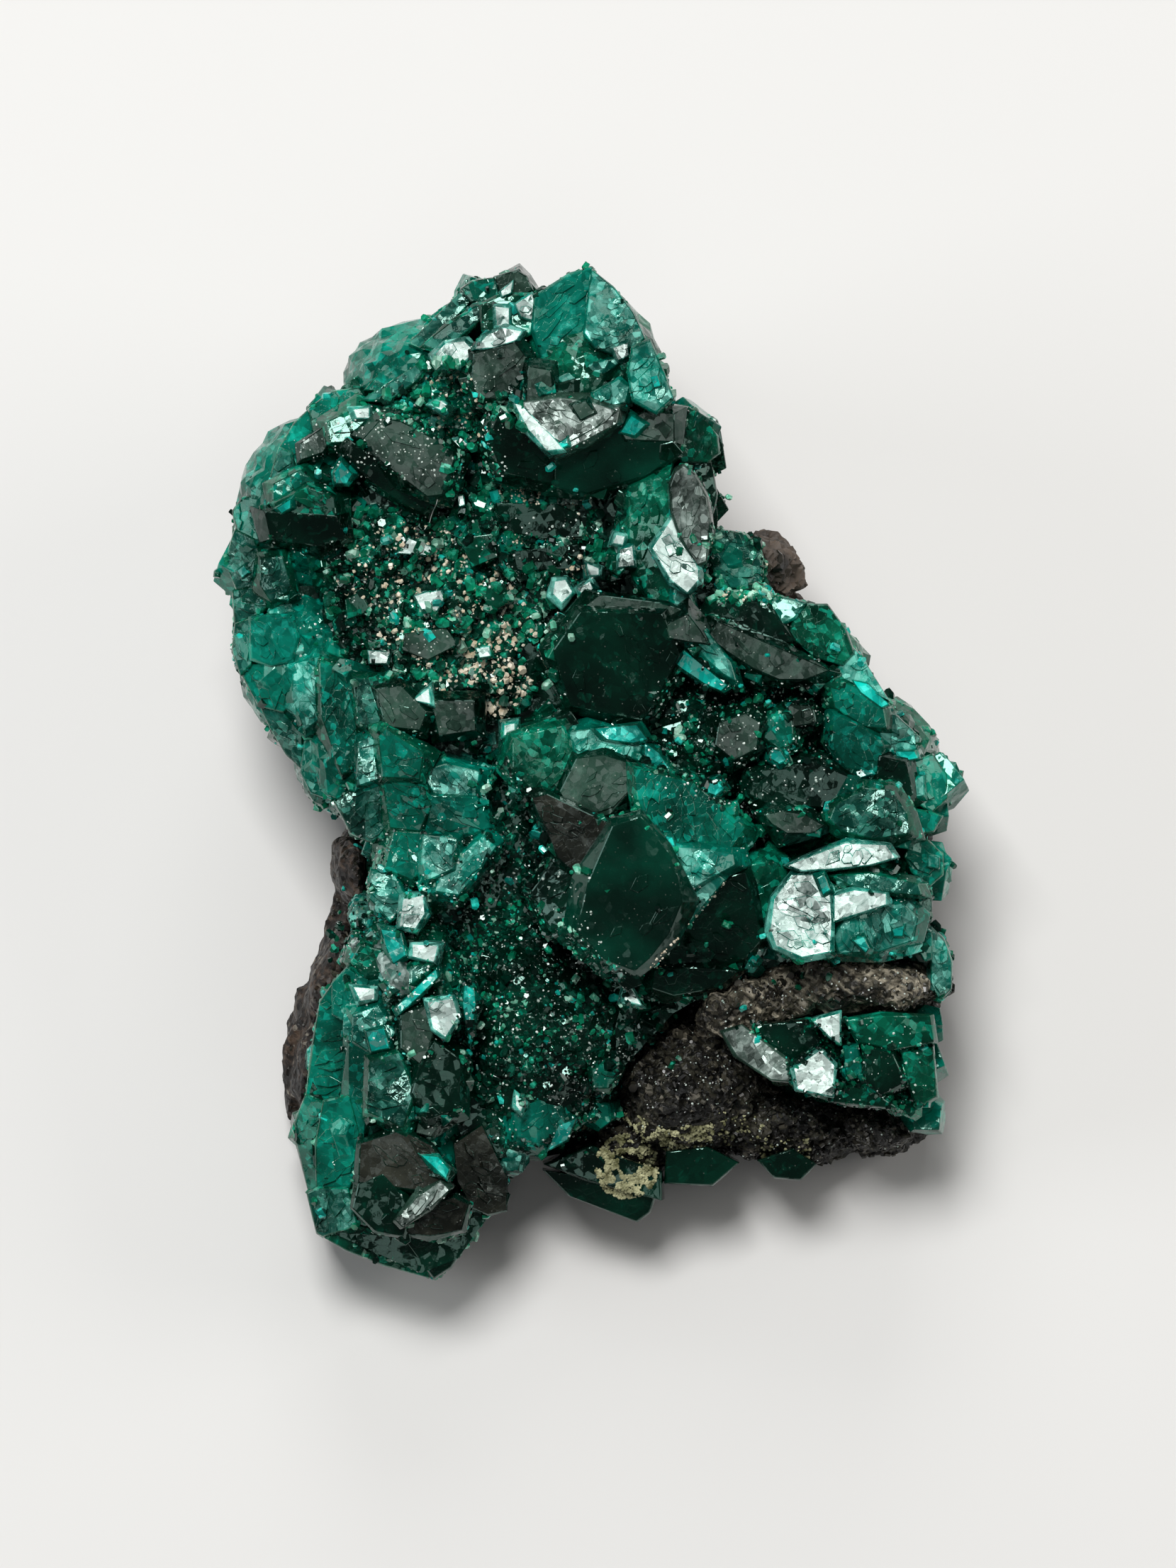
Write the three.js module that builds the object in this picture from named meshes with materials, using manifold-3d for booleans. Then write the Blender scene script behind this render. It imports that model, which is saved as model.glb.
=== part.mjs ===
// A hand-sized dioptase specimen: deep green crystals grown together over a brown rock matrix.
// Units are millimetres and +Z is up. The rock lies on its flat underside at Z = 0, and the origin
// is on that plane, under the middle of the specimen's bounding box.
//
// The specimen is laid out as an observer sees it who looks down on it from the front, 12 degrees
// off the vertical: u runs to the observer's right, v away from the observer up the specimen, and w
// towards the observer's eye. viewToPart turns that layout into the part's own frame.
import * as THREE from "three";
import { ConvexGeometry } from "three/addons/geometries/ConvexGeometry.js";
import { mergeVertices } from "three/addons/utils/BufferGeometryUtils.js";
import Module from "manifold-3d";

const wasm = await Module();
wasm.setup();

// Driving dimensions
const SPECIMEN_LENGTH = 55; // along v, from the crest to the tip of the lower lobe
const LAYOUT_LENGTH = 55; // the same length in the figures below
const VIEW_TILT = THREE.MathUtils.degToRad(12); // between the observer's line of sight and the vertical
const ROCK_LIFT = 15; // height of the layout's zero above the rock's underside
const CRYSTAL_FLOOR = -8; // w of the seam between the rock and the crystals
const SEAM = 0.3; // clearance between the rock and what grows on it
const LEAST_HEIGHT = 0.5; // no crystal reaches lower than this above the resting face

// Dioptase: a six-sided prism closed by three rhombic faces, whose normals lean 51 degrees from the axis
const RHOMB_SLOPE = Math.tan(THREE.MathUtils.degToRad(51));

const layoutScale = SPECIMEN_LENGTH / LAYOUT_LENGTH;
const viewToPart = new THREE.Matrix4()
  .makeScale(layoutScale, layoutScale, layoutScale)
  .multiply(new THREE.Matrix4().makeTranslation(0, 0, ROCK_LIFT))
  .multiply(new THREE.Matrix4().makeRotationX(VIEW_TILT));

// A repeatable stream of numbers from 0 to 1
function randomStream(seed) {
  let state = seed >>> 0;
  return () => {
    state = (state + 0x6d2b79f5) >>> 0;
    let t = Math.imul(state ^ (state >>> 15), 1 | state);
    t = (t + Math.imul(t ^ (t >>> 7), 61 | t)) ^ t;
    return ((t ^ (t >>> 14)) >>> 0) / 4294967296;
  };
}

// A smooth, uneven swell from -1 to 1, for rock surfaces
const swell = (p, size) =>
  (Math.sin((p.x * 1.7 + p.y * 0.9) / size + 0.6) +
    Math.sin((p.y * 1.9 - p.z * 1.3) / size + 2.1) +
    Math.sin((p.z * 1.6 + p.x * 1.1 - p.y * 0.7) / size + 4.4) +
    Math.sin((p.x * 4.3 - p.y * 3.7 + p.z * 2.9) / size)) /
  4;

function solidOf(geometry) {
  const bare = geometry.clone().applyMatrix4(viewToPart);
  bare.deleteAttribute("normal");
  bare.deleteAttribute("uv");
  const merged = mergeVertices(bare, 1e-4);
  return new wasm.Manifold(
    new wasm.Mesh({
      numProp: 3,
      vertProperties: merged.attributes.position.array,
      triVerts: new Uint32Array(merged.index.array),
    }),
  );
}

const join = (solids) => solids.reduce((all, next) => all.add(next));

// The biggest body of a solid that a cut has left in several
const biggest = (solid) =>
  solid.decompose().reduce((best, body) => (body.volume() > best.volume() ? body : best));

function meshOf(name, solid, material) {
  const made = solid.getMesh();
  const geometry = new THREE.BufferGeometry();
  geometry.setAttribute("position", new THREE.BufferAttribute(made.vertProperties, 3));
  geometry.setIndex(new THREE.BufferAttribute(made.triVerts, 1));
  geometry.computeVertexNormals();
  const mesh = new THREE.Mesh(geometry, material);
  mesh.name = name;
  return mesh;
}

function insideOutline(u, v, outline) {
  let inside = false;
  outline.forEach(([au, av], i) => {
    const [bu, bv] = outline[(i + 1) % outline.length];
    if (av > v !== bv > v && u < ((bu - au) * (v - av)) / (bv - av) + au) inside = !inside;
  });
  return inside;
}

const middleOf = (outline) => [
  outline.reduce((sum, [u]) => sum + u, 0) / outline.length,
  outline.reduce((sum, [, v]) => sum + v, 0) / outline.length,
];

// A crystal seen by one flat face: the face's outline, its height w at its middle and its lean, the
// rise of w along u and along v. The sides flare outwards behind the face, down to its depth.
function faceBlock({ outline, w, lean, depth = 7, flare = 1.6 }, grow = 0) {
  const [mu, mv] = middleOf(outline);
  const corners = [];
  for (const [u, v] of outline) {
    const out = new THREE.Vector2(u - mu, v - mv);
    const front = out.clone().setLength(out.length() + grow);
    const back = out.clone().setLength(out.length() + flare + grow);
    const face = w + grow + lean[0] * front.x + lean[1] * front.y;
    corners.push(new THREE.Vector3(mu + front.x, mv + front.y, face));
    corners.push(new THREE.Vector3(mu + back.x, mv + back.y, Math.min(face - 1, w - depth)));
  }
  return solidOf(new ConvexGeometry(corners));
}

// A crystal made around the w axis, turned by spin, leant over and set with its tip at (u, v, w)
function standUp(geometry, u, v, w, lean, spin) {
  const crystal = new THREE.Object3D();
  const axis = new THREE.Vector3(lean[0], lean[1], 1).normalize();
  crystal.quaternion.setFromUnitVectors(new THREE.Vector3(0, 0, 1), axis);
  crystal.rotateZ(spin);
  crystal.position.set(u, v, w);
  crystal.updateMatrix();
  return geometry.applyMatrix4(crystal.matrix);
}

// A whole dioptase crystal: its tip at (u, v, w), its axis along lean and towards the observer
function prismCrystal({ u, v, w, radius, length, lean = [0, 0], spin = 0 }, grow = 0) {
  const r = radius + grow;
  const corners = [new THREE.Vector3(0, 0, grow)];
  for (let k = 0; k < 6; k++) {
    const angle = THREE.MathUtils.degToRad(30 + 60 * k);
    const drop = (k % 2 ? r / 2 : r) * RHOMB_SLOPE;
    const [x, y] = [Math.cos(angle), Math.sin(angle)];
    corners.push(new THREE.Vector3(r * x, r * y, grow - drop));
    corners.push(new THREE.Vector3(0.85 * r * x, 0.85 * r * y, -Math.max(length, r * 2)));
  }
  return solidOf(standUp(new ConvexGeometry(corners), u, v, w, lean, spin));
}

// A crystal sunk so deep that only the three faces of its tip show
function tipCrystal({ u, v, w, radius, lean = [0, 0], spin = 0 }, grow = 0) {
  const r = radius + grow;
  const corners = [new THREE.Vector3(0, 0, grow)];
  for (let k = 0; k < 3; k++) {
    const angle = THREE.MathUtils.degToRad(120 * k);
    const [x, y] = [2 * r * Math.cos(angle), 2 * r * Math.sin(angle)];
    corners.push(new THREE.Vector3(x, y, grow - r * RHOMB_SLOPE));
  }
  return solidOf(standUp(new ConvexGeometry(corners), u, v, w, lean, spin));
}

// A rounded mound of intergrown crystals or rock
function mound({ u, v, w, ru, rv, rw, turn = 0, rough = 0.35, detail = 0 }, grow = 0) {
  const ball = new THREE.IcosahedronGeometry(1, detail);
  const points = ball.attributes.position;
  const p = new THREE.Vector3();
  for (let i = 0; i < points.count; i++) {
    p.fromBufferAttribute(points, i);
    p.set(p.x * (ru + grow), p.y * (rv + grow), p.z * (rw + grow));
    p.applyAxisAngle(new THREE.Vector3(0, 0, 1), turn).add(new THREE.Vector3(u, v, w));
    const push = 1 + (rough * swell(p, 1.6)) / Math.min(ru, rv, rw);
    p.set(u + (p.x - u) * push, v + (p.y - v) * push, w + (p.z - w) * push);
    points.setXYZ(i, p.x, p.y, p.z);
  }
  return solidOf(ball);
}

// A plate with an uneven edge: outline drawn out from w = low to w = high
function plate({ outline, low, high, rough, steps, undercut = 0 }, grow = 0) {
  const [mu, mv] = middleOf(outline);
  const shape = new THREE.Shape(outline.map(([u, v]) => new THREE.Vector2(u, v)));
  const geometry = new THREE.ExtrudeGeometry(shape, {
    depth: high - low,
    steps,
    bevelEnabled: false,
  });
  const points = geometry.attributes.position;
  const p = new THREE.Vector3();
  for (let i = 0; i < points.count; i++) {
    p.fromBufferAttribute(points, i);
    const share = p.z / (high - low);
    const level = new THREE.Vector3(p.x, p.y, low + p.z);
    const out = new THREE.Vector2(p.x - mu, p.y - mv);
    const reach = out.length() + grow + rough * swell(level, 2.3) - undercut * (1 - share) ** 2;
    out.setLength(reach);
    const top = share > 0.999 ? grow : 0;
    points.setXYZ(i, mu + out.x, mv + out.y, low + p.z + top);
  }
  return solidOf(geometry);
}

// Rock: the plate under the crystals, the band and the ledge that show through them
const ROCK_OUTLINE = [
  [-10.5, 20.4], [-6.5, 24], [-1, 24.6], [2, 22.4], [4, 18.8], [5.8, 16.8], [6.2, 14.2],
  [9.2, 12.9], [10.3, 12.1], [10.5, 10.8], [11.2, 9.1], [13, 7.2], [15, 4.2], [17.2, 1.2],
  [18.4, -1.5], [17.8, -5], [18.6, -9], [18.7, -13], [18.4, -17.5], [18.3, -18.4], [16.8, -19.6],
  [13, -20.2], [8.6, -20], [4, -20.8], [0, -20.6], [-3.6, -19.4], [-6, -22.6], [-8.6, -25],
  [-12.4, -24.2], [-14.2, -21.4], [-16.2, -18.2], [-15.8, -14], [-14.9, -11], [-13.8, -7.5],
  [-12.8, -4], [-12.4, -1.8], [-14, 0.8], [-15.8, 4], [-17.2, 8], [-17.4, 12], [-16, 16],
  [-14, 19.2],
];
const ROCK_PLATE = {
  outline: ROCK_OUTLINE, low: -24, high: CRYSTAL_FLOOR - SEAM, rough: 1.1, steps: 4, undercut: 2,
};
const ROCK_MOUNDS = [
  // the brown band across the lower right
  { u: 9.5, v: -12, w: -7.5, ru: 4.6, rv: 1.9, rw: 8.6, turn: 0.35 },
  { u: 14.6, v: -11, w: -7, ru: 4.4, rv: 1.7, rw: 8.6, turn: -0.05 },
  // the crusted ledge below it
  { u: 5.6, v: -16.6, w: -9, ru: 4.8, rv: 4, rw: 8.2, turn: 0.5, detail: 2 },
  { u: 10.6, v: -18.4, w: -9.5, ru: 5.4, rv: 2.4, rw: 6.4, turn: -0.1 },
  { u: 15.4, v: -18.9, w: -9.5, ru: 3.2, rv: 1.4, rw: 5.6 },
  { u: 2.6, v: -19.6, w: -9.5, ru: 2.6, rv: 1.8, rw: 5.6 },
  // the wall to the left of the lower lobe
  { u: -12.5, v: -5, w: -9, ru: 1.2, rv: 3, rw: 5.6, turn: 0.12 },
  { u: -13.9, v: -10.6, w: -9.4, ru: 1.3, rv: 3.8, rw: 5, turn: -0.28 },
  { u: -15.4, v: -15.8, w: -9.6, ru: 1, rv: 3.6, rw: 4, turn: -0.1 },
  // the pale pinkish shoulder at the upper right
  { u: 9.4, v: 11.4, w: -8.8, ru: 2.3, rv: 1.9, rw: 7, turn: -0.7 },
];

// Mounds that the crystals of the main mass grow on
const CRYSTAL_OUTLINE = [
  [-11.5, 20.4], [-8.4, 23.6], [-5.6, 26], [-3, 25.7], [0.2, 26.6], [2.6, 23.6], [4.4, 19.8],
  [6.4, 18.8], [6.2, 14], [7.4, 12.2], [9.2, 10.2], [12.4, 9], [14.6, 6], [16.4, 3], [18.8, 0.6],
  [19, -1.6], [18, -3.6], [18.4, -6], [18.6, -9.4], [13, -9.6], [8.4, -10.4], [4.6, -12.6],
  [2, -15.4], [0, -18.4], [-2.4, -20.2], [-4.8, -20.4], [-5, -23], [-7, -25.8], [-9, -26.6],
  [-13.8, -24.4], [-14.8, -20.6], [-15, -17], [-13.8, -12], [-12.2, -8.6], [-11.4, -4.4],
  [-12.8, -1.8], [-14.6, 0.6], [-16.4, 3.8], [-17.8, 7.4], [-18.4, 12], [-17.4, 14.8],
  [-16, 18.2], [-14, 19.6],
];
const CRYSTAL_PLATE = {
  outline: CRYSTAL_OUTLINE, low: CRYSTAL_FLOOR, high: -2.4, rough: 0.5, steps: 1,
};
const CRYSTAL_MOUNDS = [
  { u: -0.4, v: 21.4, w: -4, ru: 4.6, rv: 5.6, rw: 8 }, // upper right block
  { u: -8, v: 21.4, w: -5, ru: 5, rv: 3.6, rw: 6, turn: 0.7 }, // crest
  { u: -15.2, v: 14.4, w: -5, ru: 3.8, rv: 5.4, rw: 5.4, turn: -0.25 }, // left bulge
  { u: -15.4, v: 6.6, w: -5, ru: 3.7, rv: 5, rw: 5 },
  { u: -13, v: 1.4, w: -5, ru: 3.4, rv: 4, rw: 6 },
  { u: 4.2, v: 13.4, w: -5, ru: 2.6, rv: 4.6, rw: 7.6 }, // beside the vug
  { u: 10, v: 6.4, w: -5, ru: 5.2, rv: 3, rw: 7, turn: -0.4 },
  { u: 6.6, v: 2.4, w: -5, ru: 8, rv: 4.4, rw: 6.2 }, // middle
  { u: 15.6, v: 0.6, w: -5, ru: 3.6, rv: 4.2, rw: 6.4, turn: 0.3 }, // right rim
  { u: 2.4, v: -5.4, w: -5, ru: 5.4, rv: 4.8, rw: 9.4 }, // the big rhombic crystal
  { u: 13.6, v: -6, w: -5, ru: 5.2, rv: 3.8, rw: 8 }, // lower right block
  { u: -9, v: -3.6, w: -5, ru: 3.6, rv: 4.8, rw: 6.6 }, // waist
  { u: -9.6, v: -11.6, w: -6, ru: 4.2, rv: 5.2, rw: 8 }, // lower lobe
  { u: -10, v: -20, w: -7, ru: 4.2, rv: 5.8, rw: 7.2 },
  { u: -2.6, v: -13.4, w: -6, ru: 5, rv: 7.6, rw: 6.4 },
];

// Faces that stand out from a step away
const CRYSTAL_FACES = [
  // upper right block
  {
    outline: [
      [-3, 26], [-1, 26.9], [0.2, 27.3], [2.2, 24.9], [3.1, 22.9], [0.5, 22.2], [-2.6, 22.4],
    ],
    w: 2.2, lean: [0, -0.42], flare: 0.1,
  },
  {
    outline: [
      [-4.2, 20.2], [-1.4, 17.5], [-0.6, 17.6], [4.5, 20], [3.5, 22.3], [0.3, 22.2], [-2.6, 22],
    ],
    w: 4.9, lean: [0.05, 0.1], depth: 9, flare: 0.5,
  },
  {
    outline: [[-6.6, 22], [-5, 23.2], [-3.1, 22.6], [-3.4, 20.9], [-4.2, 20.5], [-6.1, 20.4]],
    w: 2.9, lean: [-0.08, 0.06],
  },
  // crest
  {
    outline: [[-8.2, 22.7], [-6.9, 23.3], [-6, 23], [-7, 22], [-7.9, 22]],
    w: 2, lean: [0.22, -0.3],
  },
  {
    outline: [[-6, 23.1], [-4.4, 24.1], [-2.9, 24], [-3.1, 23.6], [-5, 23]],
    w: 2.5, lean: [0.12, -0.3],
  },
  {
    outline: [
      [-11.8, 20.9], [-9.4, 23.4], [-6.2, 26.4], [-3.8, 26.2], [-3, 24.3], [-6.6, 23.6],
      [-10.4, 21],
    ],
    w: 0.4, lean: [0.3, -0.5], depth: 8, flare: 0.3,
  },
  // left bulge
  {
    outline: [[-12.2, 18], [-10.6, 19.3], [-7.3, 17.3], [-8.2, 15.1], [-10, 16.3]],
    w: 1.6, lean: [0.02, 0.1],
  },
  {
    outline: [[-17, 15.2], [-14, 15.6], [-13.4, 13], [-15, 12.3], [-17, 12.8]],
    w: 1, lean: [0.3, -0.05],
  },
  {
    outline: [[-18.1, 8.8], [-16, 9.1], [-15.6, 7.2], [-16.3, 6.1], [-18, 6.2]],
    w: -0.4, lean: [0.4, 0],
  },
  {
    outline: [[-11.2, 2.2], [-10.4, 2.9], [-8.6, 1.4], [-9.4, -0.6], [-11.2, -0.8]],
    w: 1.9, lean: [0.12, 0.08],
  },
  { outline: [[-8.4, 4.2], [-6.1, 4.3], [-6, 2.6], [-8, 2.3]], w: 0.8, lean: [0.05, 0.12] },
  // beside the vug
  {
    outline: [
      [5, 16.6], [6.1, 15.8], [6.5, 13.5], [6.3, 11.2], [5.6, 11], [4.9, 12.4], [4.3, 14.2],
      [4.4, 15.8],
    ],
    w: 3.6, lean: [-0.16, 0.05], flare: 0.6,
  },
  {
    outline: [[4.3, 14.2], [4.9, 12.4], [5.6, 11], [5, 10], [4, 10.8], [3.4, 12.3]],
    w: 3.2, lean: [0.38, 0.1], flare: 0.6,
  },
  // middle
  {
    outline: [
      [-2, 7.8], [0.4, 8.6], [3.8, 8.2], [5, 6.6], [4.2, 4.8], [1.6, 3.6], [-1.2, 4.6],
      [-2.4, 6.2],
    ],
    w: 3.4, lean: [0.02, 0.34], depth: 8,
  },
  {
    outline: [[0.4, 8.6], [2, 9.3], [5.4, 8.9], [6, 8], [4.2, 7.6], [3.8, 8.2]],
    w: 3.8, lean: [0.02, -0.36],
  },
  {
    outline: [[6, 8], [7.2, 8.4], [9.6, 7], [12.9, 5.9], [11.5, 5.1], [9.6, 5.5], [8, 6.2], [7, 7]],
    w: 3.2, lean: [-0.1, -0.1], flare: 1,
  },
  {
    outline: [[4.4, 7.3], [5.9, 8.1], [7, 7], [8, 6.1], [7.2, 5.3], [5.6, 6.2]],
    w: 3.6, lean: [0.2, 0.06],
  },
  {
    outline: [
      [6.2, 8.9], [9.2, 10], [12, 9.2], [14.2, 7.4], [13.7, 6.2], [12, 6.4], [9.8, 7.4],
      [7.3, 8.6],
    ],
    w: 1.9, lean: [-0.12, -0.36], flare: 0.3,
  },
  {
    outline: [[0.2, 2.9], [2.8, 2.7], [4.4, 0.8], [3.6, 0.5], [2.4, 1.2], [0.8, 1.9]],
    w: 2.9, lean: [-0.08, -0.45],
  },
  {
    outline: [
      [-3.6, 2.2], [-0.5, 2.8], [0.6, 1.9], [2.2, 0.9], [2.6, -1.2], [0.2, -1.6], [-2.8, -0.6],
      [-3.8, 0.6],
    ],
    w: 2.9, lean: [-0.08, 0.08],
  },
  // the big rhombic crystal
  {
    outline: [[-3, -0.9], [-1.2, -1.9], [1.4, -2.1], [0.6, -4.5], [-0.6, -7.6], [-2.6, -4.6]],
    w: 4, lean: [0.5, 0.05], depth: 9,
  },
  {
    outline: [
      [1.4, -2.1], [3.7, -2.5], [4.9, -5.4], [4.2, -7.6], [3.1, -9.5], [2.5, -10.2],
      [-0.6, -7.8], [0.5, -4.6],
    ],
    w: 5.6, lean: [0.04, 0.08], depth: 10, flare: 1.3,
  },
  {
    outline: [
      [3.7, -2.5], [4.6, -1], [6.8, -0.9], [8.4, -2.6], [7.8, -4.3], [5.6, -5.9], [4.9, -5.4],
    ],
    w: 4.6, lean: [-0.28, -0.08],
  },
  {
    outline: [
      [4.5, -8.5], [7.8, -5.2], [9.6, -5.2], [9.3, -8.6], [8, -10.4], [5.6, -11.8], [3.6, -11.2],
    ],
    w: 1.4, lean: [-0.15, 0.6],
  },
  // lower right block
  {
    outline: [
      [9.6, -6.6], [10.6, -5.2], [12.6, -5.2], [13.1, -7], [12.9, -9.2], [10.4, -9.4],
      [9.5, -8.2],
    ],
    w: 3.6, lean: [0.1, -0.16],
  },
  {
    outline: [[13.1, -6.1], [15.6, -6], [16.4, -6.4], [15, -7.4], [13.6, -7.4]],
    w: 3.6, lean: [0.06, -0.2],
  },
  {
    outline: [[13.4, -7.6], [15.2, -7.2], [17.6, -6.6], [18.4, -8.4], [17.6, -9.6], [13.4, -9.5]],
    w: 2.9, lean: [-0.2, 0.12], flare: 0.4,
  },
  {
    outline: [[10.4, -4.7], [12.4, -3.9], [13.9, -3.4], [16.8, -3.6], [17, -4.5], [13, -5]],
    w: 3.4, lean: [0, -0.24],
  },
  {
    outline: [
      [9.4, -1.9], [11.6, -1.7], [13.6, -0.2], [16.4, -0.2], [17.2, -2.6], [14.4, -3.1],
      [12, -2.9], [10.2, -2.8],
    ],
    w: 2.9, lean: [-0.06, -0.06],
  },
  // lower lobe
  {
    outline: [
      [-13.2, -9.8], [-12.3, -10.2], [-12, -15], [-12.2, -20.5], [-12.6, -24], [-14.4, -24.4],
      [-15.2, -20.2], [-15.1, -17], [-14.2, -12.6],
    ],
    w: -1.6, lean: [0.8, 0.02], depth: 6, flare: 0.3,
  },
  {
    outline: [[-8.9, -12.1], [-7.4, -11.7], [-7, -12.8], [-7.7, -13.8], [-8.4, -13.4]],
    w: 2.7, lean: [0.05, -0.14],
  },
  {
    outline: [[-10.1, -6.4], [-8.8, -6.3], [-8.6, -7.2], [-9.3, -8], [-10, -7.9]],
    w: 2.1, lean: [0.1, -0.16],
  },
  { outline: [[-11, -8.1], [-10, -8.3], [-9.6, -9.4], [-10.6, -10]], w: 1.8, lean: [0.3, -0.1] },
  {
    outline: [
      [-12, -19.4], [-9.2, -19.6], [-6.9, -21.6], [-7, -23.4], [-9.6, -24.4], [-11.6, -23.2],
    ],
    w: 0.6, lean: [0.02, -0.06], flare: 0.7,
  },
  {
    outline: [
      [-6.6, -18.4], [-5.4, -18.6], [-4.4, -21], [-4.5, -22.4], [-5.4, -23], [-6.4, -24],
      [-6.9, -22],
    ],
    w: -1.8, lean: [-0.6, 0.05], flare: 0.1,
  },
  {
    outline: [
      [-14.2, -24.4], [-12.4, -24], [-9.4, -24.4], [-7.2, -24.2], [-7.6, -26.2], [-8.2, -27],
      [-11, -26.2],
    ],
    w: -2.8, lean: [0.05, 0.6], depth: 4, flare: 0.05,
  },
];

// Whole crystals that show their tips
const CRYSTAL_PRISMS = [
  { u: -3.7, v: 27.4, w: -1.2, radius: 1.4, length: 6, lean: [0.15, 0.9], spin: 0.4 },
  { u: -6.3, v: 27, w: -1.8, radius: 1.6, length: 6, lean: [-0.3, 0.9], spin: 1.1 },
  { u: -8.4, v: 25, w: -2.4, radius: 1.5, length: 6, lean: [-0.6, 0.8], spin: 0.3 },
  { u: -10.6, v: 22.7, w: -2.2, radius: 1.5, length: 6, lean: [-0.6, 0.7], spin: 0.9 },
  { u: -12.6, v: 21.6, w: -2, radius: 1.5, length: 6, lean: [-0.4, 0.8], spin: 0.2 },
  { u: -14.6, v: 20.7, w: -2.6, radius: 1.5, length: 6, lean: [-0.5, 0.8], spin: 0.6 },
  { u: 6, v: 19.6, w: 0.8, radius: 1.8, length: 7, lean: [0.35, 0.5], spin: 0.9 },
  { u: 7.3, v: 17.6, w: -0.8, radius: 1.4, length: 6, lean: [0.8, 0], spin: 0.2 },
  { u: 7.2, v: 15.2, w: -2.6, radius: 1.4, length: 6, lean: [0.8, 0.2], spin: 0.6 },
  { u: 8, v: 2.4, w: 2.5, radius: 1.6, length: 7, lean: [0.05, 0.1], spin: 0.5 },
  { u: 10.4, v: 2.5, w: 2.3, radius: 1.5, length: 7, lean: [0.2, -0.05], spin: 0.1 },
  { u: 11.5, v: 3.9, w: 2, radius: 1.3, length: 7, lean: [0.1, 0.3], spin: 0.7 },
  { u: 19.4, v: -4.6, w: -0.6, radius: 1.5, length: 6, lean: [0.9, 0.05], spin: 0.3 },
  { u: 19.9, v: 0, w: -1, radius: 1.9, length: 6, lean: [1.1, 0.2], spin: 0.8 },
  { u: 19.4, v: -2, w: -1.4, radius: 1.4, length: 6, lean: [1, -0.2], spin: 0.1 },
  { u: 20, v: -9.8, w: -1.2, radius: 1.8, length: 7, lean: [1, -0.1], spin: 0.2 },
  { u: 2, v: 12.2, w: 0.8, radius: 0.9, length: 5, lean: [0.1, 0.1], spin: 0.5 },
  { u: -19.9, v: 11.6, w: -2.4, radius: 2, length: 6, lean: [-1, 0.1], spin: 0.5 },
  { u: -19.5, v: 8.6, w: -2.8, radius: 1.7, length: 6, lean: [-1, 0], spin: 0.9 },
  { u: -19.3, v: 14.4, w: -3.2, radius: 1.6, length: 6, lean: [-0.9, 0.4], spin: 0.1 },
  { u: -17, v: 2.2, w: -3.4, radius: 1.1, length: 5, lean: [-0.8, -0.3], spin: 0.2 },
  { u: -15.8, v: -19.4, w: -5.4, radius: 1.1, length: 5, lean: [-0.6, -0.2], spin: 0.2 },
];

// The crystals in the pocket under the brown band
const POCKET_MOUNDS = [
  { u: 13.6, v: -15.2, w: -6.6, ru: 4.6, rv: 2.4, rw: 6.6, turn: -0.1 },
];
const POCKET_FACES = [
  {
    outline: [[11.8, -12.9], [13.3, -12.5], [13.4, -14.2], [12.8, -13.9]],
    w: 1.1, lean: [0.08, -0.16], depth: 5, flare: 0.4,
  },
  {
    outline: [[10.9, -15.3], [12.3, -14.4], [13.1, -15.3], [13.1, -17], [11, -16.6]],
    w: 1.3, lean: [0.08, -0.16], depth: 6, flare: 0.4,
  },
  {
    outline: [[7.6, -13.6], [8.4, -13.3], [10.6, -15.4], [10.7, -16.4], [9.8, -16.2], [8, -14.9]],
    w: 0.6, lean: [0.25, 0.2], depth: 6, flare: 0.3,
  },
  {
    outline: [[13.4, -14.2], [14.3, -14.4], [14.6, -15.9], [13.6, -16.3]],
    w: 1.1, lean: [-0.2, 0.2], depth: 6, flare: 0.4,
  },
  {
    outline: [[16.4, -13.8], [18.2, -13.5], [18.5, -15.8], [17.2, -16.4]],
    w: 0.2, lean: [-0.4, 0], depth: 6, flare: 0.3,
  },
];
const POCKET_PRISMS = [
  { u: 15.4, v: -13.6, w: 0.6, radius: 1.2, length: 6, lean: [0, 0.2], spin: 0.4 },
  { u: 15.6, v: -16.6, w: 0.2, radius: 1.3, length: 6, lean: [0.1, -0.4], spin: 0.9 },
  { u: 18.9, v: -18.9, w: -2.6, radius: 1.3, length: 5, lean: [0.6, -0.7], spin: 0.2 },
  { u: 19.2, v: -15.4, w: -2, radius: 1.5, length: 6, lean: [0.9, -0.1], spin: 0.5 },
  { u: 19.1, v: -13.2, w: -2.2, radius: 1.2, length: 5, lean: [0.9, 0.1], spin: 0.1 },
  { u: 17.2, v: -17.6, w: -0.8, radius: 1.2, length: 5, lean: [0.4, -0.5], spin: 0.7 },
];

// The crystals at the foot of the ledge
const FOOT_FACES = [
  {
    outline: [[-2.4, -21.1], [0, -21.5], [3.6, -22.5], [3.3, -23.4], [2.6, -23.9], [-1, -22.5]],
    w: -4, lean: [0.05, 0.5], depth: 3.4, flare: 0.1,
  },
  {
    outline: [[-2.2, -20.8], [0.2, -19.8], [3.8, -21.2], [3.9, -22.7], [0, -21.6]],
    w: -3.2, lean: [0.02, -0.1], depth: 4.4, flare: 0.3,
  },
];
const SPUR_FACES = [
  {
    outline: [[4.6, -21.6], [6.8, -21.7], [7.9, -20.7], [6.4, -20], [4.7, -20.4]],
    w: -3.4, lean: [-0.05, 0.3], depth: 4, flare: 0.1,
  },
];
const NUB_FACES = [
  {
    outline: [[9.2, -20.6], [10.1, -21.5], [11.4, -21.6], [12.3, -20.8], [11, -20]],
    w: -3.8, lean: [0, 0.4], depth: 4, flare: 0.1,
  },
];

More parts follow.
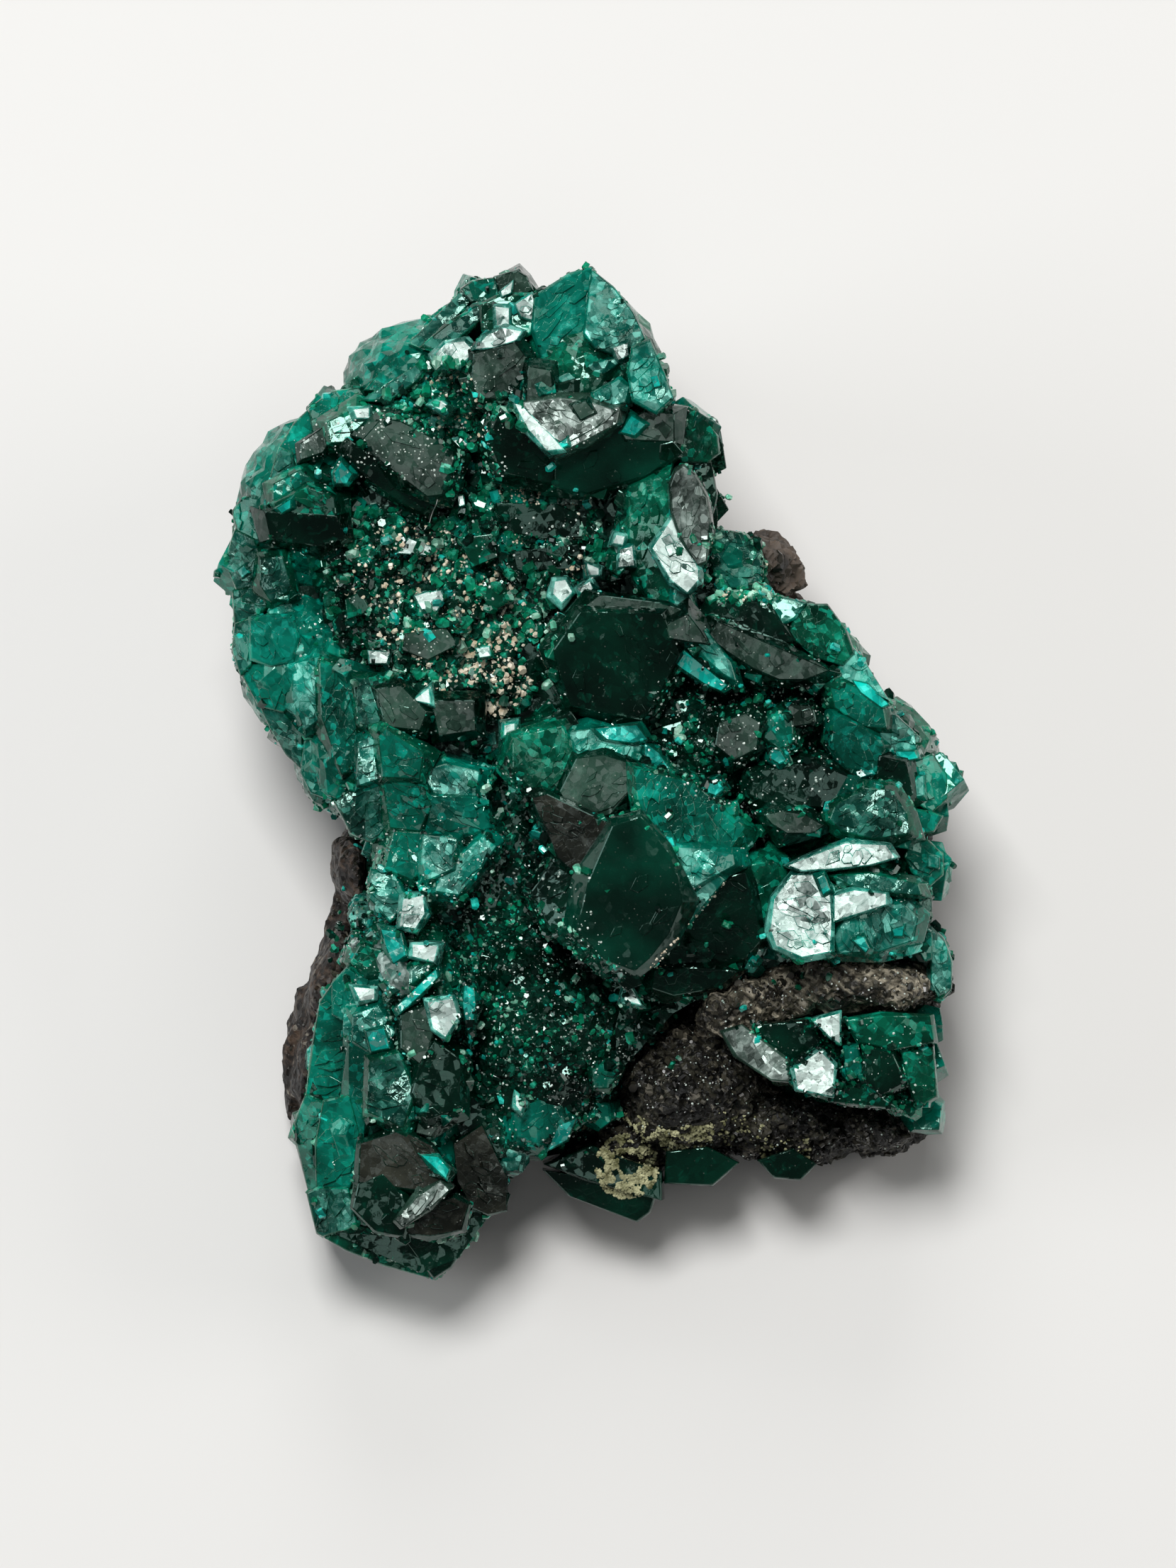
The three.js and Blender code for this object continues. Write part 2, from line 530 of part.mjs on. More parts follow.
// The vug: a shallow hollow in the main mass, lined with a crust of small crystals
const VUG_OUTLINE = [
  [-14.3, 11], [-13, 14.6], [-8.6, 14.6], [-5.6, 16.6], [-2, 16.2], [0.6, 14.6], [1, 11.4],
  [-1.4, 9.2], [-3.2, 7], [-3, 4.4], [-5, 3], [-9, 4.6], [-12.2, 5.8], [-14, 8],
];
const VUG_PLATE = { outline: VUG_OUTLINE, low: -2.1, high: -1.4, rough: 0.2, steps: 1 };

const heightOnMounds = (u, v, mounds, floor) =>
  mounds.reduce((high, m) => {
    const [x, y] = [(u - m.u) / m.ru, (v - m.v) / m.rv];
    const left = 1 - x * x - y * y;
    return left > 0 ? Math.max(high, m.w + m.rw * Math.sqrt(left)) : high;
  }, floor);

// Crystals strewn over a region on a jittered grid, clear of the faces that stand out. The share
// tips of them are sunk to their tips, and the others stand out as prisms.
function strewn(patch) {
  const { seed, region, spacing, radius, mounds, floor, tips } = patch;
  const { clear = [], spread = 0.55, sunk = 0.4 } = patch;
  const random = randomStream(seed);
  const [mu, mv] = middleOf(region);
  const us = region.map(([u]) => u);
  const vs = region.map(([, v]) => v);
  const found = [];
  for (let gv = Math.min(...vs); gv <= Math.max(...vs); gv += spacing)
    for (let gu = Math.min(...us); gu <= Math.max(...us); gu += spacing) {
      const u = gu + (random() - 0.5) * spacing;
      const v = gv + (random() - 0.5) * spacing;
      const size = radius[0] + (radius[1] - radius[0]) * random() ** 1.5;
      const lean = [(random() - 0.5) * 2 * spread, (random() - 0.5) * 2 * spread];
      const spin = random() * Math.PI;
      const make = random() < tips ? tipCrystal : prismCrystal;
      const covered = clear.some((outline) => insideOutline(u, v, outline));
      if (covered || !insideOutline(u, v, region)) continue;
      const out = new THREE.Vector2(u - mu, v - mv).multiplyScalar(0.03);
      found.push({
        make, u, v,
        w: heightOnMounds(u, v, mounds, floor) + size * (1 - sunk),
        radius: size,
        length: size * 3,
        lean: [lean[0] + out.x, lean[1] + out.y],
        spin,
      });
    }
  return found;
}

// Crystals that lean outwards over the rim of the main mass, one at every second corner
function rimCrystals({ seed, outline, radius, heights }) {
  const random = randomStream(seed);
  const [mu, mv] = middleOf(outline);
  return outline
    .filter((corner, i) => i % 2 === 0)
    .map(([u, v]) => {
      const out = new THREE.Vector2(u - mu, v - mv).normalize();
      const size = radius[0] + (radius[1] - radius[0]) * random();
      return {
        make: prismCrystal,
        u: u - out.x * 0.2,
        v: v - out.y * 0.2,
        w: heights[0] + (heights[1] - heights[0]) * random(),
        radius: size,
        length: size * 2.6,
        lean: [out.x * (1.1 + random()), out.y * (1.1 + random())],
        spin: random() * Math.PI,
      };
    });
}

const CLEAR_OF_FACES = [...CRYSTAL_FACES.map((face) => face.outline), VUG_OUTLINE];
const SMALL_CRYSTALS = [
  ...strewn({
    seed: 7, region: CRYSTAL_OUTLINE, spacing: 5.2, radius: [1.4, 2.4],
    mounds: CRYSTAL_MOUNDS, floor: CRYSTAL_PLATE.high, tips: 0.5, clear: CLEAR_OF_FACES,
  }),
  ...rimCrystals({ seed: 21, outline: CRYSTAL_OUTLINE, radius: [1.4, 2.1], heights: [-6.5, -3.5] }),
];
const VUG_CRYSTALS = strewn({
  seed: 11, region: VUG_OUTLINE, spacing: 2.6, radius: [0.8, 1.4],
  mounds: [], floor: VUG_PLATE.high, tips: 0.8, spread: 0.9, sunk: 0.25,
});

// A big box under a height, to cut what reaches below it
function below(height) {
  const slab = new THREE.BoxGeometry(200, 200, 100);
  slab.translate(0, 0, height - 50);
  slab.applyMatrix4(viewToPart.clone().invert());
  return solidOf(slab);
}

const rock = (grow) =>
  join([
    plate(ROCK_PLATE, grow),
    ...ROCK_MOUNDS.map((m) => mound({ detail: 1, rough: 0.5, ...m }, grow)),
  ]);

const crystalMass = (grow) =>
  join([
    plate(CRYSTAL_PLATE, grow),
    ...CRYSTAL_MOUNDS.map((m) => mound(m, grow)),
    ...CRYSTAL_FACES.map((f) => faceBlock(f, grow)),
    ...CRYSTAL_PRISMS.map((p) => prismCrystal(p, grow)),
    ...SMALL_CRYSTALS.map((p) => p.make(p, grow)),
  ]);

const floorCut = below(0);
const lowCut = below(LEAST_HEIGHT);
const rockSeat = rock(SEAM);
const massSeat = crystalMass(SEAM);

const matrixSolid = biggest(rock(0).subtract(floorCut));
const massSolid = biggest(crystalMass(0).subtract(rockSeat).subtract(lowCut));
const pocketSolid = biggest(
  join([
    ...POCKET_MOUNDS.map((m) => mound(m)),
    ...POCKET_FACES.map((f) => faceBlock(f)),
    ...POCKET_PRISMS.map((p) => prismCrystal(p)),
  ]).subtract(rockSeat).subtract(massSeat).subtract(lowCut),
);
const ledgeSolid = (faces) => {
  const crystals = join(faces.map((f) => faceBlock(f)));
  return biggest(crystals.subtract(rockSeat).subtract(massSeat).subtract(lowCut));
};
const vugSolid = biggest(
  join([plate(VUG_PLATE), ...VUG_CRYSTALS.map((p) => p.make(p))]).subtract(massSeat),
);

// Finishes, one for each kind of surface
const rockFinish = new THREE.MeshStandardMaterial({ color: 0x3a2f28, roughness: 0.92, metalness: 0 });
const crystalFinish = new THREE.MeshStandardMaterial({ color: 0x04603f, roughness: 0.16, metalness: 0 });
const pocketFinish = new THREE.MeshStandardMaterial({ color: 0x056b47, roughness: 0.2, metalness: 0 });
const footFinish = new THREE.MeshStandardMaterial({ color: 0x0b4a33, roughness: 0.24, metalness: 0 });
const druseFinish = new THREE.MeshStandardMaterial({ color: 0x1b8a5d, roughness: 0.22, metalness: 0 });

const specimen = new THREE.Group();
specimen.add(meshOf("matrix_rock", matrixSolid, rockFinish));
specimen.add(meshOf("dioptase_mass", massSolid, crystalFinish));
specimen.add(meshOf("pocket_crystals", pocketSolid, pocketFinish));
specimen.add(meshOf("foot_crystal", ledgeSolid(FOOT_FACES), footFinish));
specimen.add(meshOf("spur_crystal", ledgeSolid(SPUR_FACES), footFinish));
specimen.add(meshOf("nub_crystal", ledgeSolid(NUB_FACES), footFinish));
specimen.add(meshOf("vug_druse", vugSolid, druseFinish));

// The origin goes under the middle of the bounding box, in the resting plane
const box = new THREE.Box3().setFromObject(specimen);
const middle = box.getCenter(new THREE.Vector3());
for (const mesh of specimen.children) mesh.geometry.translate(-middle.x, -middle.y, -box.min.z);

export default specimen;
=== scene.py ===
# %% [markdown]
# # A dioptase specimen
# Dioptase is a deep green copper mineral. This piece is a crust of stout crystals, grown into each
# other on dark brown rock, with a hollow full of tiny crystals in its upper half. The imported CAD
# model gives the size and place of each piece. This script makes the finer crystals that stand
# in for the CAD solids, and the finishes.

import math
import random

import bmesh
import bpy
import numpy as np
from mathutils import Matrix, Vector, noise
from mathutils.bvhtree import BVHTree


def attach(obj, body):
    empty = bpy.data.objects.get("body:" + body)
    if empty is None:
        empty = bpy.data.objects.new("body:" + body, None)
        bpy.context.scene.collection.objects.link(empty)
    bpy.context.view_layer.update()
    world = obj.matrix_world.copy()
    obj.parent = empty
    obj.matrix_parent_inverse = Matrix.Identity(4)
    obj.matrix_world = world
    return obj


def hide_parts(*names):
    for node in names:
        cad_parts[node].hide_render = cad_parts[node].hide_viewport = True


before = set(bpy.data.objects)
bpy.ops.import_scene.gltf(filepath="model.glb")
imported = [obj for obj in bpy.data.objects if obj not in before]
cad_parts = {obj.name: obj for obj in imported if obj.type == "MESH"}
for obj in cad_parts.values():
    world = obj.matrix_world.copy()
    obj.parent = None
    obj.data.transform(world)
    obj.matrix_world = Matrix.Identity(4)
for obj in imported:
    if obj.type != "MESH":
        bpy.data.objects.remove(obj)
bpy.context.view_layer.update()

# %% [markdown]
# ## Where things are
# The specimen is measured as the observer sees it: u to the right, v up the specimen and w towards
# the eye, in millimetres. The observer looks down 12 degrees off the vertical. One matrix takes
# that layout to the CAD frame in metres, so every piece is modelled flat to the eye and then
# settled into place, with its object left at the origin.

# %% The layout
TILT = math.radians(12)
LIFT = 15.0
TO_MIDDLE = (-0.7942, -1.0883)

LAYOUT = (
    Matrix.Scale(0.001, 4)
    @ Matrix.Translation((TO_MIDDLE[0], TO_MIDDLE[1], LIFT))
    @ Matrix.Rotation(TILT, 4, "X")
)
EYEWARD = (LAYOUT.to_3x3() @ Vector((0, 0, 1))).normalized()


def direction(u, v, w):
    """A direction of the layout, in the scene."""
    return (LAYOUT.to_3x3() @ Vector((u, v, w))).normalized()


def mesh_from(bm, name):
    """Turns a bmesh into a mesh and frees it."""
    mesh = bpy.data.meshes.new(name)
    bm.to_mesh(mesh)
    bm.free()
    return mesh


def solid_in_layout(node):
    """A merged copy of a CAD solid, taken back to the layout."""
    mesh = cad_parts[node].data.copy()
    mesh.materials.clear()
    bm = bmesh.new()
    bm.from_mesh(mesh)
    bmesh.ops.remove_doubles(bm, verts=bm.verts[:], dist=1e-6)
    bm.transform(LAYOUT.inverted())
    bm.to_mesh(mesh)
    bm.free()
    return mesh


def settle(name, mesh, materials, slot, *nodes):
    """Puts a mesh made in the layout into the scene, as a piece that may stand for CAD nodes."""
    mesh.transform(LAYOUT)
    mesh.validate()
    mesh.name = name
    piece = bpy.data.objects.new(name, mesh)
    bpy.context.scene.collection.objects.link(piece)
    if not mesh.materials:
        for material in materials:
            mesh.materials.append(material)
    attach(piece, "root")
    if nodes:
        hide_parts(*nodes)
    print(name, len(mesh.polygons), "faces")
    return piece


# %% [markdown]
# ## Camera, floor and light
# The view looks straight down the w axis through a long lens, so the specimen keeps the outline it
# has in the photograph. Crystal faces are mirrors: they show the lamps or the dark between them. One
# bright soft box stands up the specimen from the eye, so a face that leans a little that way flashes
# white. A wide dim one beside the eye turns the faces that look straight up grey.

# %% Camera
PHOTO = (1659, 2212)
MM_PER_PIXEL = 0.038
EYE_DISTANCE = 0.60

centre = LAYOUT @ Vector((0, -0.27, 0))
lens = bpy.data.cameras.new("camera")
camera = bpy.data.objects.new("camera", lens)
bpy.context.scene.collection.objects.link(camera)
bpy.context.scene.camera = camera
lens.sensor_fit = "VERTICAL"
lens.sensor_height = 36
lens.lens = 36 * EYE_DISTANCE / (PHOTO[1] * MM_PER_PIXEL * 0.001)
lens.clip_start, lens.clip_end = 0.01, 20
camera.location = centre + EYEWARD * EYE_DISTANCE
camera.rotation_euler = (TILT, 0, 0)
print("lens, mm:", round(lens.lens, 1))

# %% Floor and light
def new_material(name):
    """A material with nodes: the material, its tree and its main shader."""
    material = bpy.data.materials.new(name)
    material.use_nodes = True
    return material, material.node_tree, material.node_tree.nodes["Principled BSDF"]


bm = bmesh.new()
bmesh.ops.create_grid(bm, x_segments=1, y_segments=1, size=3)
floor_mesh = mesh_from(bm, "floor")
floor = bpy.data.objects.new("floor", floor_mesh)
bpy.context.scene.collection.objects.link(floor)
paper, paper_tree, paper_shader = new_material("pale_paper")
paper_shader.inputs["Base Color"].default_value = (0.72, 0.71, 0.69, 1)
paper_shader.inputs["Roughness"].default_value = 0.9
floor_mesh.materials.append(paper)

world = bpy.data.worlds.new("dim_room")
bpy.context.scene.world = world
world.use_nodes = True
world.node_tree.nodes["Background"].inputs["Color"].default_value = (0.30, 0.31, 0.32, 1)
world.node_tree.nodes["Background"].inputs["Strength"].default_value = 0.24


def soft_box(name, towards, distance, size, watts, colour=(1, 1, 1)):
    """A square lamp that faces the specimen from a direction of the layout."""
    light = bpy.data.lights.new(name, "AREA")
    light.shape = "SQUARE"
    light.size = size
    light.energy = watts
    light.color = colour
    lamp = bpy.data.objects.new(name, light)
    bpy.context.scene.collection.objects.link(lamp)
    lamp.location = centre + direction(*towards) * distance
    lamp.rotation_euler = direction(*towards).to_track_quat("Z", "Y").to_euler()
    return lamp


soft_box("key", (-0.15, 0.45, 0.88), 0.7, 0.24, 4.2)
soft_box("front", (0.02, -0.20, 0.98), 0.9, 0.28, 0.34)
soft_box("left", (-0.9, 0.1, 0.45), 0.7, 0.36, 1.3, (0.93, 0.97, 1))
soft_box("right", (0.9, 0.25, 0.4), 0.7, 0.36, 1.3, (1, 0.98, 0.95))
soft_box("crest", (0.0, 0.95, 0.32), 0.7, 0.36, 1.3)
bpy.context.scene.view_settings.view_transform = "Standard"

# %% [markdown]
# ## Finishes
# Real dioptase is clear, yet a crystal a few millimetres thick swallows nearly all the light, so it
# looks almost black with an emerald edge. Where it is full of tiny cracks it turns cloudy turquoise.
# Every crystal finish is glass with plain transmission, refraction and absorption, over a colour that
# drifts from the dark body to the cloud. The uneven parts are two groups that all finishes share. The
# colour group also paints light into the colour: lighter and darker cells are painted flashes and shade
# of small faces, and a few brighter cells are painted glints.


# %% Shared effects
def new_group(name, inputs, outputs):
    """A shader node group with named sockets: inputs are (name, type, value)."""
    group = bpy.data.node_groups.new(name, "ShaderNodeTree")
    for label, kind, value in inputs:
        socket = group.interface.new_socket(label, in_out="INPUT", socket_type=kind)
        socket.default_value = value
    for label, kind in outputs:
        group.interface.new_socket(label, in_out="OUTPUT", socket_type=kind)
    return group, group.nodes.new("NodeGroupInput"), group.nodes.new("NodeGroupOutput")


def add_node(tree, kind, links=None, **values):
    """A node with its settings, its socket values and the links into its sockets."""
    node = tree.nodes.new(kind)
    for label, value in values.items():
        setattr(node, label, value)
    for socket, value in (links or {}).items():
        if isinstance(value, bpy.types.NodeSocket):
            tree.links.new(value, node.inputs[socket])
        else:
            node.inputs[socket].default_value = value
    return node


def position(tree):
    """Where a point is on the piece, in object coordinates."""
    return add_node(tree, "ShaderNodeTexCoord").outputs["Object"]


def mix_colours(tree, share, first, second):
    """A blend of two colours: share 0 gives the first, 1 the second."""
    node = add_node(tree, "ShaderNodeMix", {0: share, 6: first, 7: second}, data_type="RGBA")
    return node.outputs[2]


def calculate(tree, operation, a, b):
    """The result of one arithmetic node."""
    return add_node(tree, "ShaderNodeMath", {0: a, 1: b}, operation=operation).outputs[0]


def product(tree, a, b):
    """Two values multiplied."""
    return calculate(tree, "MULTIPLY", a, b)


def total(tree, a, b):
    """Two values added."""
    return calculate(tree, "ADD", a, b)


def remap(tree, value, low, high, new_low=0.0, new_high=1.0):
    """A value taken from one range to another, and held there."""
    return add_node(
        tree, "ShaderNodeMapRange",
        {"Value": value, "From Min": low, "From Max": high, "To Min": new_low, "To Max": new_high},
    ).outputs["Result"]


def add_relief(tree, shader, height, strength, distance):
    """Sends a height through a bump node to the shader."""
    relief = add_node(
        tree, "ShaderNodeBump", {"Height": height, "Strength": strength, "Distance": distance}
    )
    tree.links.new(relief.outputs["Normal"], shader.inputs["Normal"])


def colour_ramp(tree, value, stops):
    """The colour that a value picks between stops, given as (place, colour)."""
    node = add_node(tree, "ShaderNodeValToRGB", {"Fac": value})
    ramp = node.color_ramp.elements
    ramp[0].position, ramp[1].position = stops[0][0], stops[-1][0]
    for place, colour in stops[1:-1]:
        ramp.new(place)
    for stop, (place, colour) in zip(ramp, stops):
        stop.color = (*colour, 1)
    return node.outputs["Color"]


def tilted_cells(tree, where, scale):
    """Small flat faces: the rise of each cell's own tilted plane, and a lot drawn per cell."""
    cells = add_node(tree, "ShaderNodeTexVoronoi", {"Vector": where, "Scale": scale})
    away = add_node(
        tree, "ShaderNodeVectorMath", {0: where, 1: cells.outputs["Position"]},
        operation="SUBTRACT",
    )
    tilt = add_node(
        tree, "ShaderNodeVectorMath", {0: cells.outputs["Color"], 1: (0.5, 0.5, 0.5)},
        operation="SUBTRACT",
    )
    rise = add_node(
        tree, "ShaderNodeVectorMath", {0: away.outputs[0], 1: tilt.outputs[0]},
        operation="DOT_PRODUCT",
    )
    lot = add_node(tree, "ShaderNodeSeparateColor", {"Color": cells.outputs["Color"]})
    return rise.outputs["Value"], lot.outputs[0]


COLOUR, NUMBER = "NodeSocketColor", "NodeSocketFloat"
# Cells to the metre, about 1.1 and 0.4 mm wide, and what lifts a cell's rise to a height near 1
COARSE_CELLS, FINE_CELLS = 900.0, 2700.0
CELL_RISE = 9000.0

cloud_and_painted_light, g_in, g_out = new_group(
    "cloud_and_painted_light",
    [
        ("Body", COLOUR, (0, 0.1, 0.06, 1)),
        ("Drift", COLOUR, (0, 0.1, 0.06, 1)),
        ("Cloud", COLOUR, (0, 0.4, 0.3, 1)),
        ("Amount", NUMBER, 0.5),
        ("Dust", NUMBER, 0.3),
        ("Flash", NUMBER, 0.6),
        ("Facet_light", NUMBER, 0.8),
    ],
    [("Color", COLOUR), ("Roughness", NUMBER)],
)
where = position(cloud_and_painted_light)
slow = add_node(cloud_and_painted_light, "ShaderNodeTexNoise", {"Vector": where, "Scale": 260.0, "Detail": 2.0})
veils = add_node(
    cloud_and_painted_light, "ShaderNodeTexNoise",
    {"Vector": where, "Scale": 620.0, "Detail": 4.0, "Roughness": 0.68, "Distortion": 1.6},
)
specks = add_node(cloud_and_painted_light, "ShaderNodeTexVoronoi", {"Vector": where, "Scale": 3600.0})
drift = remap(cloud_and_painted_light, slow.outputs["Fac"], 0.35, 0.65)
body = mix_colours(cloud_and_painted_light, drift, g_in.outputs["Body"], g_in.outputs["Drift"])
level = total(cloud_and_painted_light, veils.outputs["Fac"], g_in.outputs["Amount"])
cloud = remap(cloud_and_painted_light, level, 0.95, 1.2)
clouded = mix_colours(cloud_and_painted_light, cloud, body, g_in.outputs["Cloud"])
# Painted facet light: every coarse and fine cell takes its own lighter or darker copy of the colour,
# the painted flashes and shade of small faces. The last input of the group sets how strong it is.
rise, lot = tilted_cells(cloud_and_painted_light, where, COARSE_CELLS)
fine_rise, fine_lot = tilted_cells(cloud_and_painted_light, where, FINE_CELLS)
shade = product(
    cloud_and_painted_light, remap(cloud_and_painted_light, lot, 0.2, 0.8, 0.6, 1.4),
    remap(cloud_and_painted_light, fine_lot, 0.2, 0.8, 0.7, 1.3),
)
spread = product(cloud_and_painted_light, calculate(cloud_and_painted_light, "SUBTRACT", shade, 1.0), g_in.outputs["Facet_light"])
broad_shade = remap(cloud_and_painted_light, slow.outputs["Fac"], 0.38, 0.62, 0.6, 1.3)
toned = product(cloud_and_painted_light, total(cloud_and_painted_light, spread, 1.0), broad_shade)
shaded = add_node(
    cloud_and_painted_light, "ShaderNodeVectorMath", {0: clouded, "Scale": toned}, operation="SCALE"
).outputs[0]
flash = add_node(
    cloud_and_painted_light, "ShaderNodeVectorMath", {0: g_in.outputs["Cloud"], "Scale": 1.6}, operation="SCALE"
).outputs[0]
lucky = remap(cloud_and_painted_light, fine_lot, 0.80, 0.84)
glowing = product(cloud_and_painted_light, lucky, remap(cloud_and_painted_light, level, 0.8, 1.0))
flashes = product(cloud_and_painted_light, glowing, g_in.outputs["Flash"])
flashed = mix_colours(cloud_and_painted_light, flashes, shaded, flash)
near = remap(cloud_and_painted_light, specks.outputs["Distance"], 0.16, 0.08)
patchy = remap(cloud_and_painted_light, veils.outputs["Fac"], 0.45, 0.6)
dusty = product(cloud_and_painted_light, near, patchy)
dust = product(cloud_and_painted_light, dusty, g_in.outputs["Dust"])
dusted = mix_colours(cloud_and_painted_light, dust, flashed, (0.62, 0.66, 0.58, 1))
cloud_and_painted_light.links.new(dusted, g_out.inputs["Color"])
cloud_and_painted_light.links.new(total(cloud_and_painted_light, cloud, dust), g_out.inputs["Roughness"])

growth, g_in, g_out = new_group(
    "growth_marks",
    [("Steps", NUMBER, 0.5), ("Pits", NUMBER, 0.5)],
    [("Height", NUMBER)],
)
where = position(growth)
rise, lot = tilted_cells(growth, where, COARSE_CELLS)
fine_rise, fine_lot = tilted_cells(growth, where, FINE_CELLS)
ripples = add_node(
    growth, "ShaderNodeTexNoise", {"Vector": where, "Scale": 1500.0, "Detail": 3.0, "Roughness": 0.6}
)
broad_steps = product(growth, rise, CELL_RISE)
coarse_marks = total(growth, broad_steps, ripples.outputs["Fac"])
stepped = product(growth, coarse_marks, g_in.outputs["Steps"])
pitted = product(growth, product(growth, fine_rise, CELL_RISE), g_in.outputs["Pits"])
growth.links.new(total(growth, stepped, pitted), g_out.inputs["Height"])
print("shared effects:", cloud_and_painted_light.name, growth.name)


# %% [markdown]
# ### Crystal finishes
# One recipe serves them all. What differs is how dark the body is, how much cloud it holds, how fine
# its growth marks are, how clear it is, and how strong its painted facet light and painted glints are.
# The silver, glass and smoke finishes also paint reflections into their colour, and cyan paints flashes
# from inside.


# %% Crystal finishes
DIOPTASE_IOR = 1.66
LET_THROUGH = (0.05, 0.86, 0.62, 1)
ABSORPTION = 700.0
THICK_TINT, THIN_TINT = (0.6, 1, 0.86, 1), (0.85, 1, 0.93, 1)


def crystal_finish(name, body, drift, cloud, amount, dust=0.3, steps=0.5, pits=0.4,
                   smooth=0.1, clear=0.4, bump=0.25, thick=True, flash=0.6, mottle_and_facet_light=0.8,
                   mirror=0.34):
    """A crystal material: colours, share of cloud, growth marks, roughness and clearness."""
    # Of the numbers, flash sets the painted glints, and the one after it the painted facet light and
    # shade.
    material, tree, shader = new_material(name)
    colours = add_node(
        tree, "ShaderNodeGroup",
        {"Body": (*body, 1), "Drift": (*drift, 1), "Cloud": (*cloud, 1), "Amount": amount,
         "Dust": dust, "Flash": flash, "Facet_light": mottle_and_facet_light},
        node_tree=cloud_and_painted_light,
    )
    marks = add_node(tree, "ShaderNodeGroup", {"Steps": steps, "Pits": pits}, node_tree=growth)
    shine = remap(tree, colours.outputs["Roughness"], 0, 1, smooth, smooth + 0.3)
    tree.links.new(colours.outputs["Color"], shader.inputs["Base Color"])
    tree.links.new(shine, shader.inputs["Roughness"])
    add_relief(tree, shader, marks.outputs["Height"], bump, 0.0002)
    shader.inputs["IOR"].default_value = DIOPTASE_IOR
    shader.inputs["Specular IOR Level"].default_value = mirror
    shader.inputs["Specular Tint"].default_value = THICK_TINT if thick else THIN_TINT
    shader.inputs["Transmission Weight"].default_value = clear
    if thick:
        absorb = add_node(
            tree, "ShaderNodeVolumeAbsorption", {"Color": LET_THROUGH, "Density": ABSORPTION}
        )
        tree.links.new(absorb.outputs["Volume"], tree.nodes["Material Output"].inputs["Volume"])
    return material


FINISHES = {
    "deep": crystal_finish(
        "deep_green", (0.001, 0.009, 0.005), (0.001, 0.024, 0.013), (0.002, 0.11, 0.062), 0.34,
        dust=0.25, steps=0.35, flash=0.25, mottle_and_facet_light=0.4,
    ),
    "green": crystal_finish(
        "bottle_green", (0.002, 0.024, 0.014), (0.001, 0.05, 0.028), (0.004, 0.13, 0.08), 0.28,
        dust=0.25, steps=0.05, pits=0.2, flash=0.05, mottle_and_facet_light=0.15,
    ),
    "emerald": crystal_finish(
        "emerald_green", (0.001, 0.065, 0.033), (0.001, 0.13, 0.068), (0.004, 0.32, 0.2), 0.42,
    ),
    "teal": crystal_finish(
        "teal_green", (0.001, 0.13, 0.082), (0.001, 0.21, 0.14), (0.004, 0.42, 0.31), 0.40,
        steps=0.4, mottle_and_facet_light=0.6, flash=0.45,
    ),
    "bright": crystal_finish(
        "clear_turquoise", (0.001, 0.12, 0.078), (0.001, 0.19, 0.13), (0.005, 0.40, 0.30), 0.44,
        steps=0.25, mottle_and_facet_light=0.35, flash=0.25,
    ),
    "mist": crystal_finish(
        "misted_teal", (0.003, 0.075, 0.052), (0.007, 0.13, 0.095), (0.06, 0.26, 0.2), 0.48,
        dust=0.4, steps=0.9, smooth=0.12, bump=0.45,
    ),
    "frost": crystal_finish(
        "frosted_teal", (0.003, 0.2, 0.145), (0.01, 0.35, 0.255), (0.22, 0.68, 0.56), 0.52,
        dust=0.5, steps=0.9, smooth=0.12, bump=0.5,
    ),
    # Silver faces: a pale grey cloud paints the white reflection of the key lamp into the colour, on
    # faces that also lean to mirror that lamp.
    "silver": crystal_finish(
        "green_with_painted_lamp_reflection", (0.02, 0.09, 0.07), (0.08, 0.17, 0.14), (0.45, 0.56, 0.52), 0.55,
        dust=0.4, steps=0.35, pits=0.25, smooth=0.16, clear=0.2, bump=0.3, thick=False, mirror=0.42,
    ),
    # Smoke faces: the dark green body is the crystal's own, and the grey cloud paints the grey sheen
    # that these faces reflect.
    "smoke": crystal_finish(
        "green_with_painted_grey_sheen", (0.014, 0.038, 0.026), (0.024, 0.062, 0.043), (0.07, 0.13, 0.10), 0.4,
        dust=0.8, steps=0.3, pits=0.4, smooth=0.18, clear=0.2, thick=False, flash=0.2, mottle_and_facet_light=0.3,
        mirror=0.42,
    ),
    "umber": crystal_finish(
        "brownish_green", (0.009, 0.010, 0.007), (0.021, 0.022, 0.016), (0.055, 0.058, 0.045), 0.42,
        dust=0.35, steps=0.5, pits=0.4, smooth=0.22, clear=0.15, thick=False, flash=0.15, mottle_and_facet_light=0.35,
    ),
    # Glass faces: a pale grey cloud paints a soft grey-white highlight into the colour.
    "glass": crystal_finish(
        "grey_with_painted_highlight", (0.03, 0.05, 0.04), (0.07, 0.10, 0.085), (0.26, 0.32, 0.29), 0.5,
        steps=0.5, smooth=0.18, clear=0.2, bump=0.4, thick=False, mirror=0.42,
    ),
    # Cyan faces: small bright turquoise faces that paint flashes of light from inside the crystal.
    "cyan": crystal_finish(
        "turquoise_painted_inner_flash", (0.0, 0.34, 0.27), (0.002, 0.5, 0.41), (0.06, 0.74, 0.62), 0.46,
        smooth=0.1, clear=0.25, thick=False, flash=0.3,
    ),
}
FINISH_ORDER = list(FINISHES)
CRYSTAL_MATERIALS = list(FINISHES.values())
print("crystal finishes:", FINISH_ORDER)

# %% [markdown]
# ## Crystals, one at a time
# A dioptase crystal is a six-sided prism with three rhombic faces at its end. Two makers cover all of
# them. One starts from the face that the observer sees, drawn as a few corners, and sets a hull of
# sloping sides behind it. The other starts from a six-sided cone primitive and cuts its end with
# three planes. Both get a narrow bevel, because the real edges catch the light.

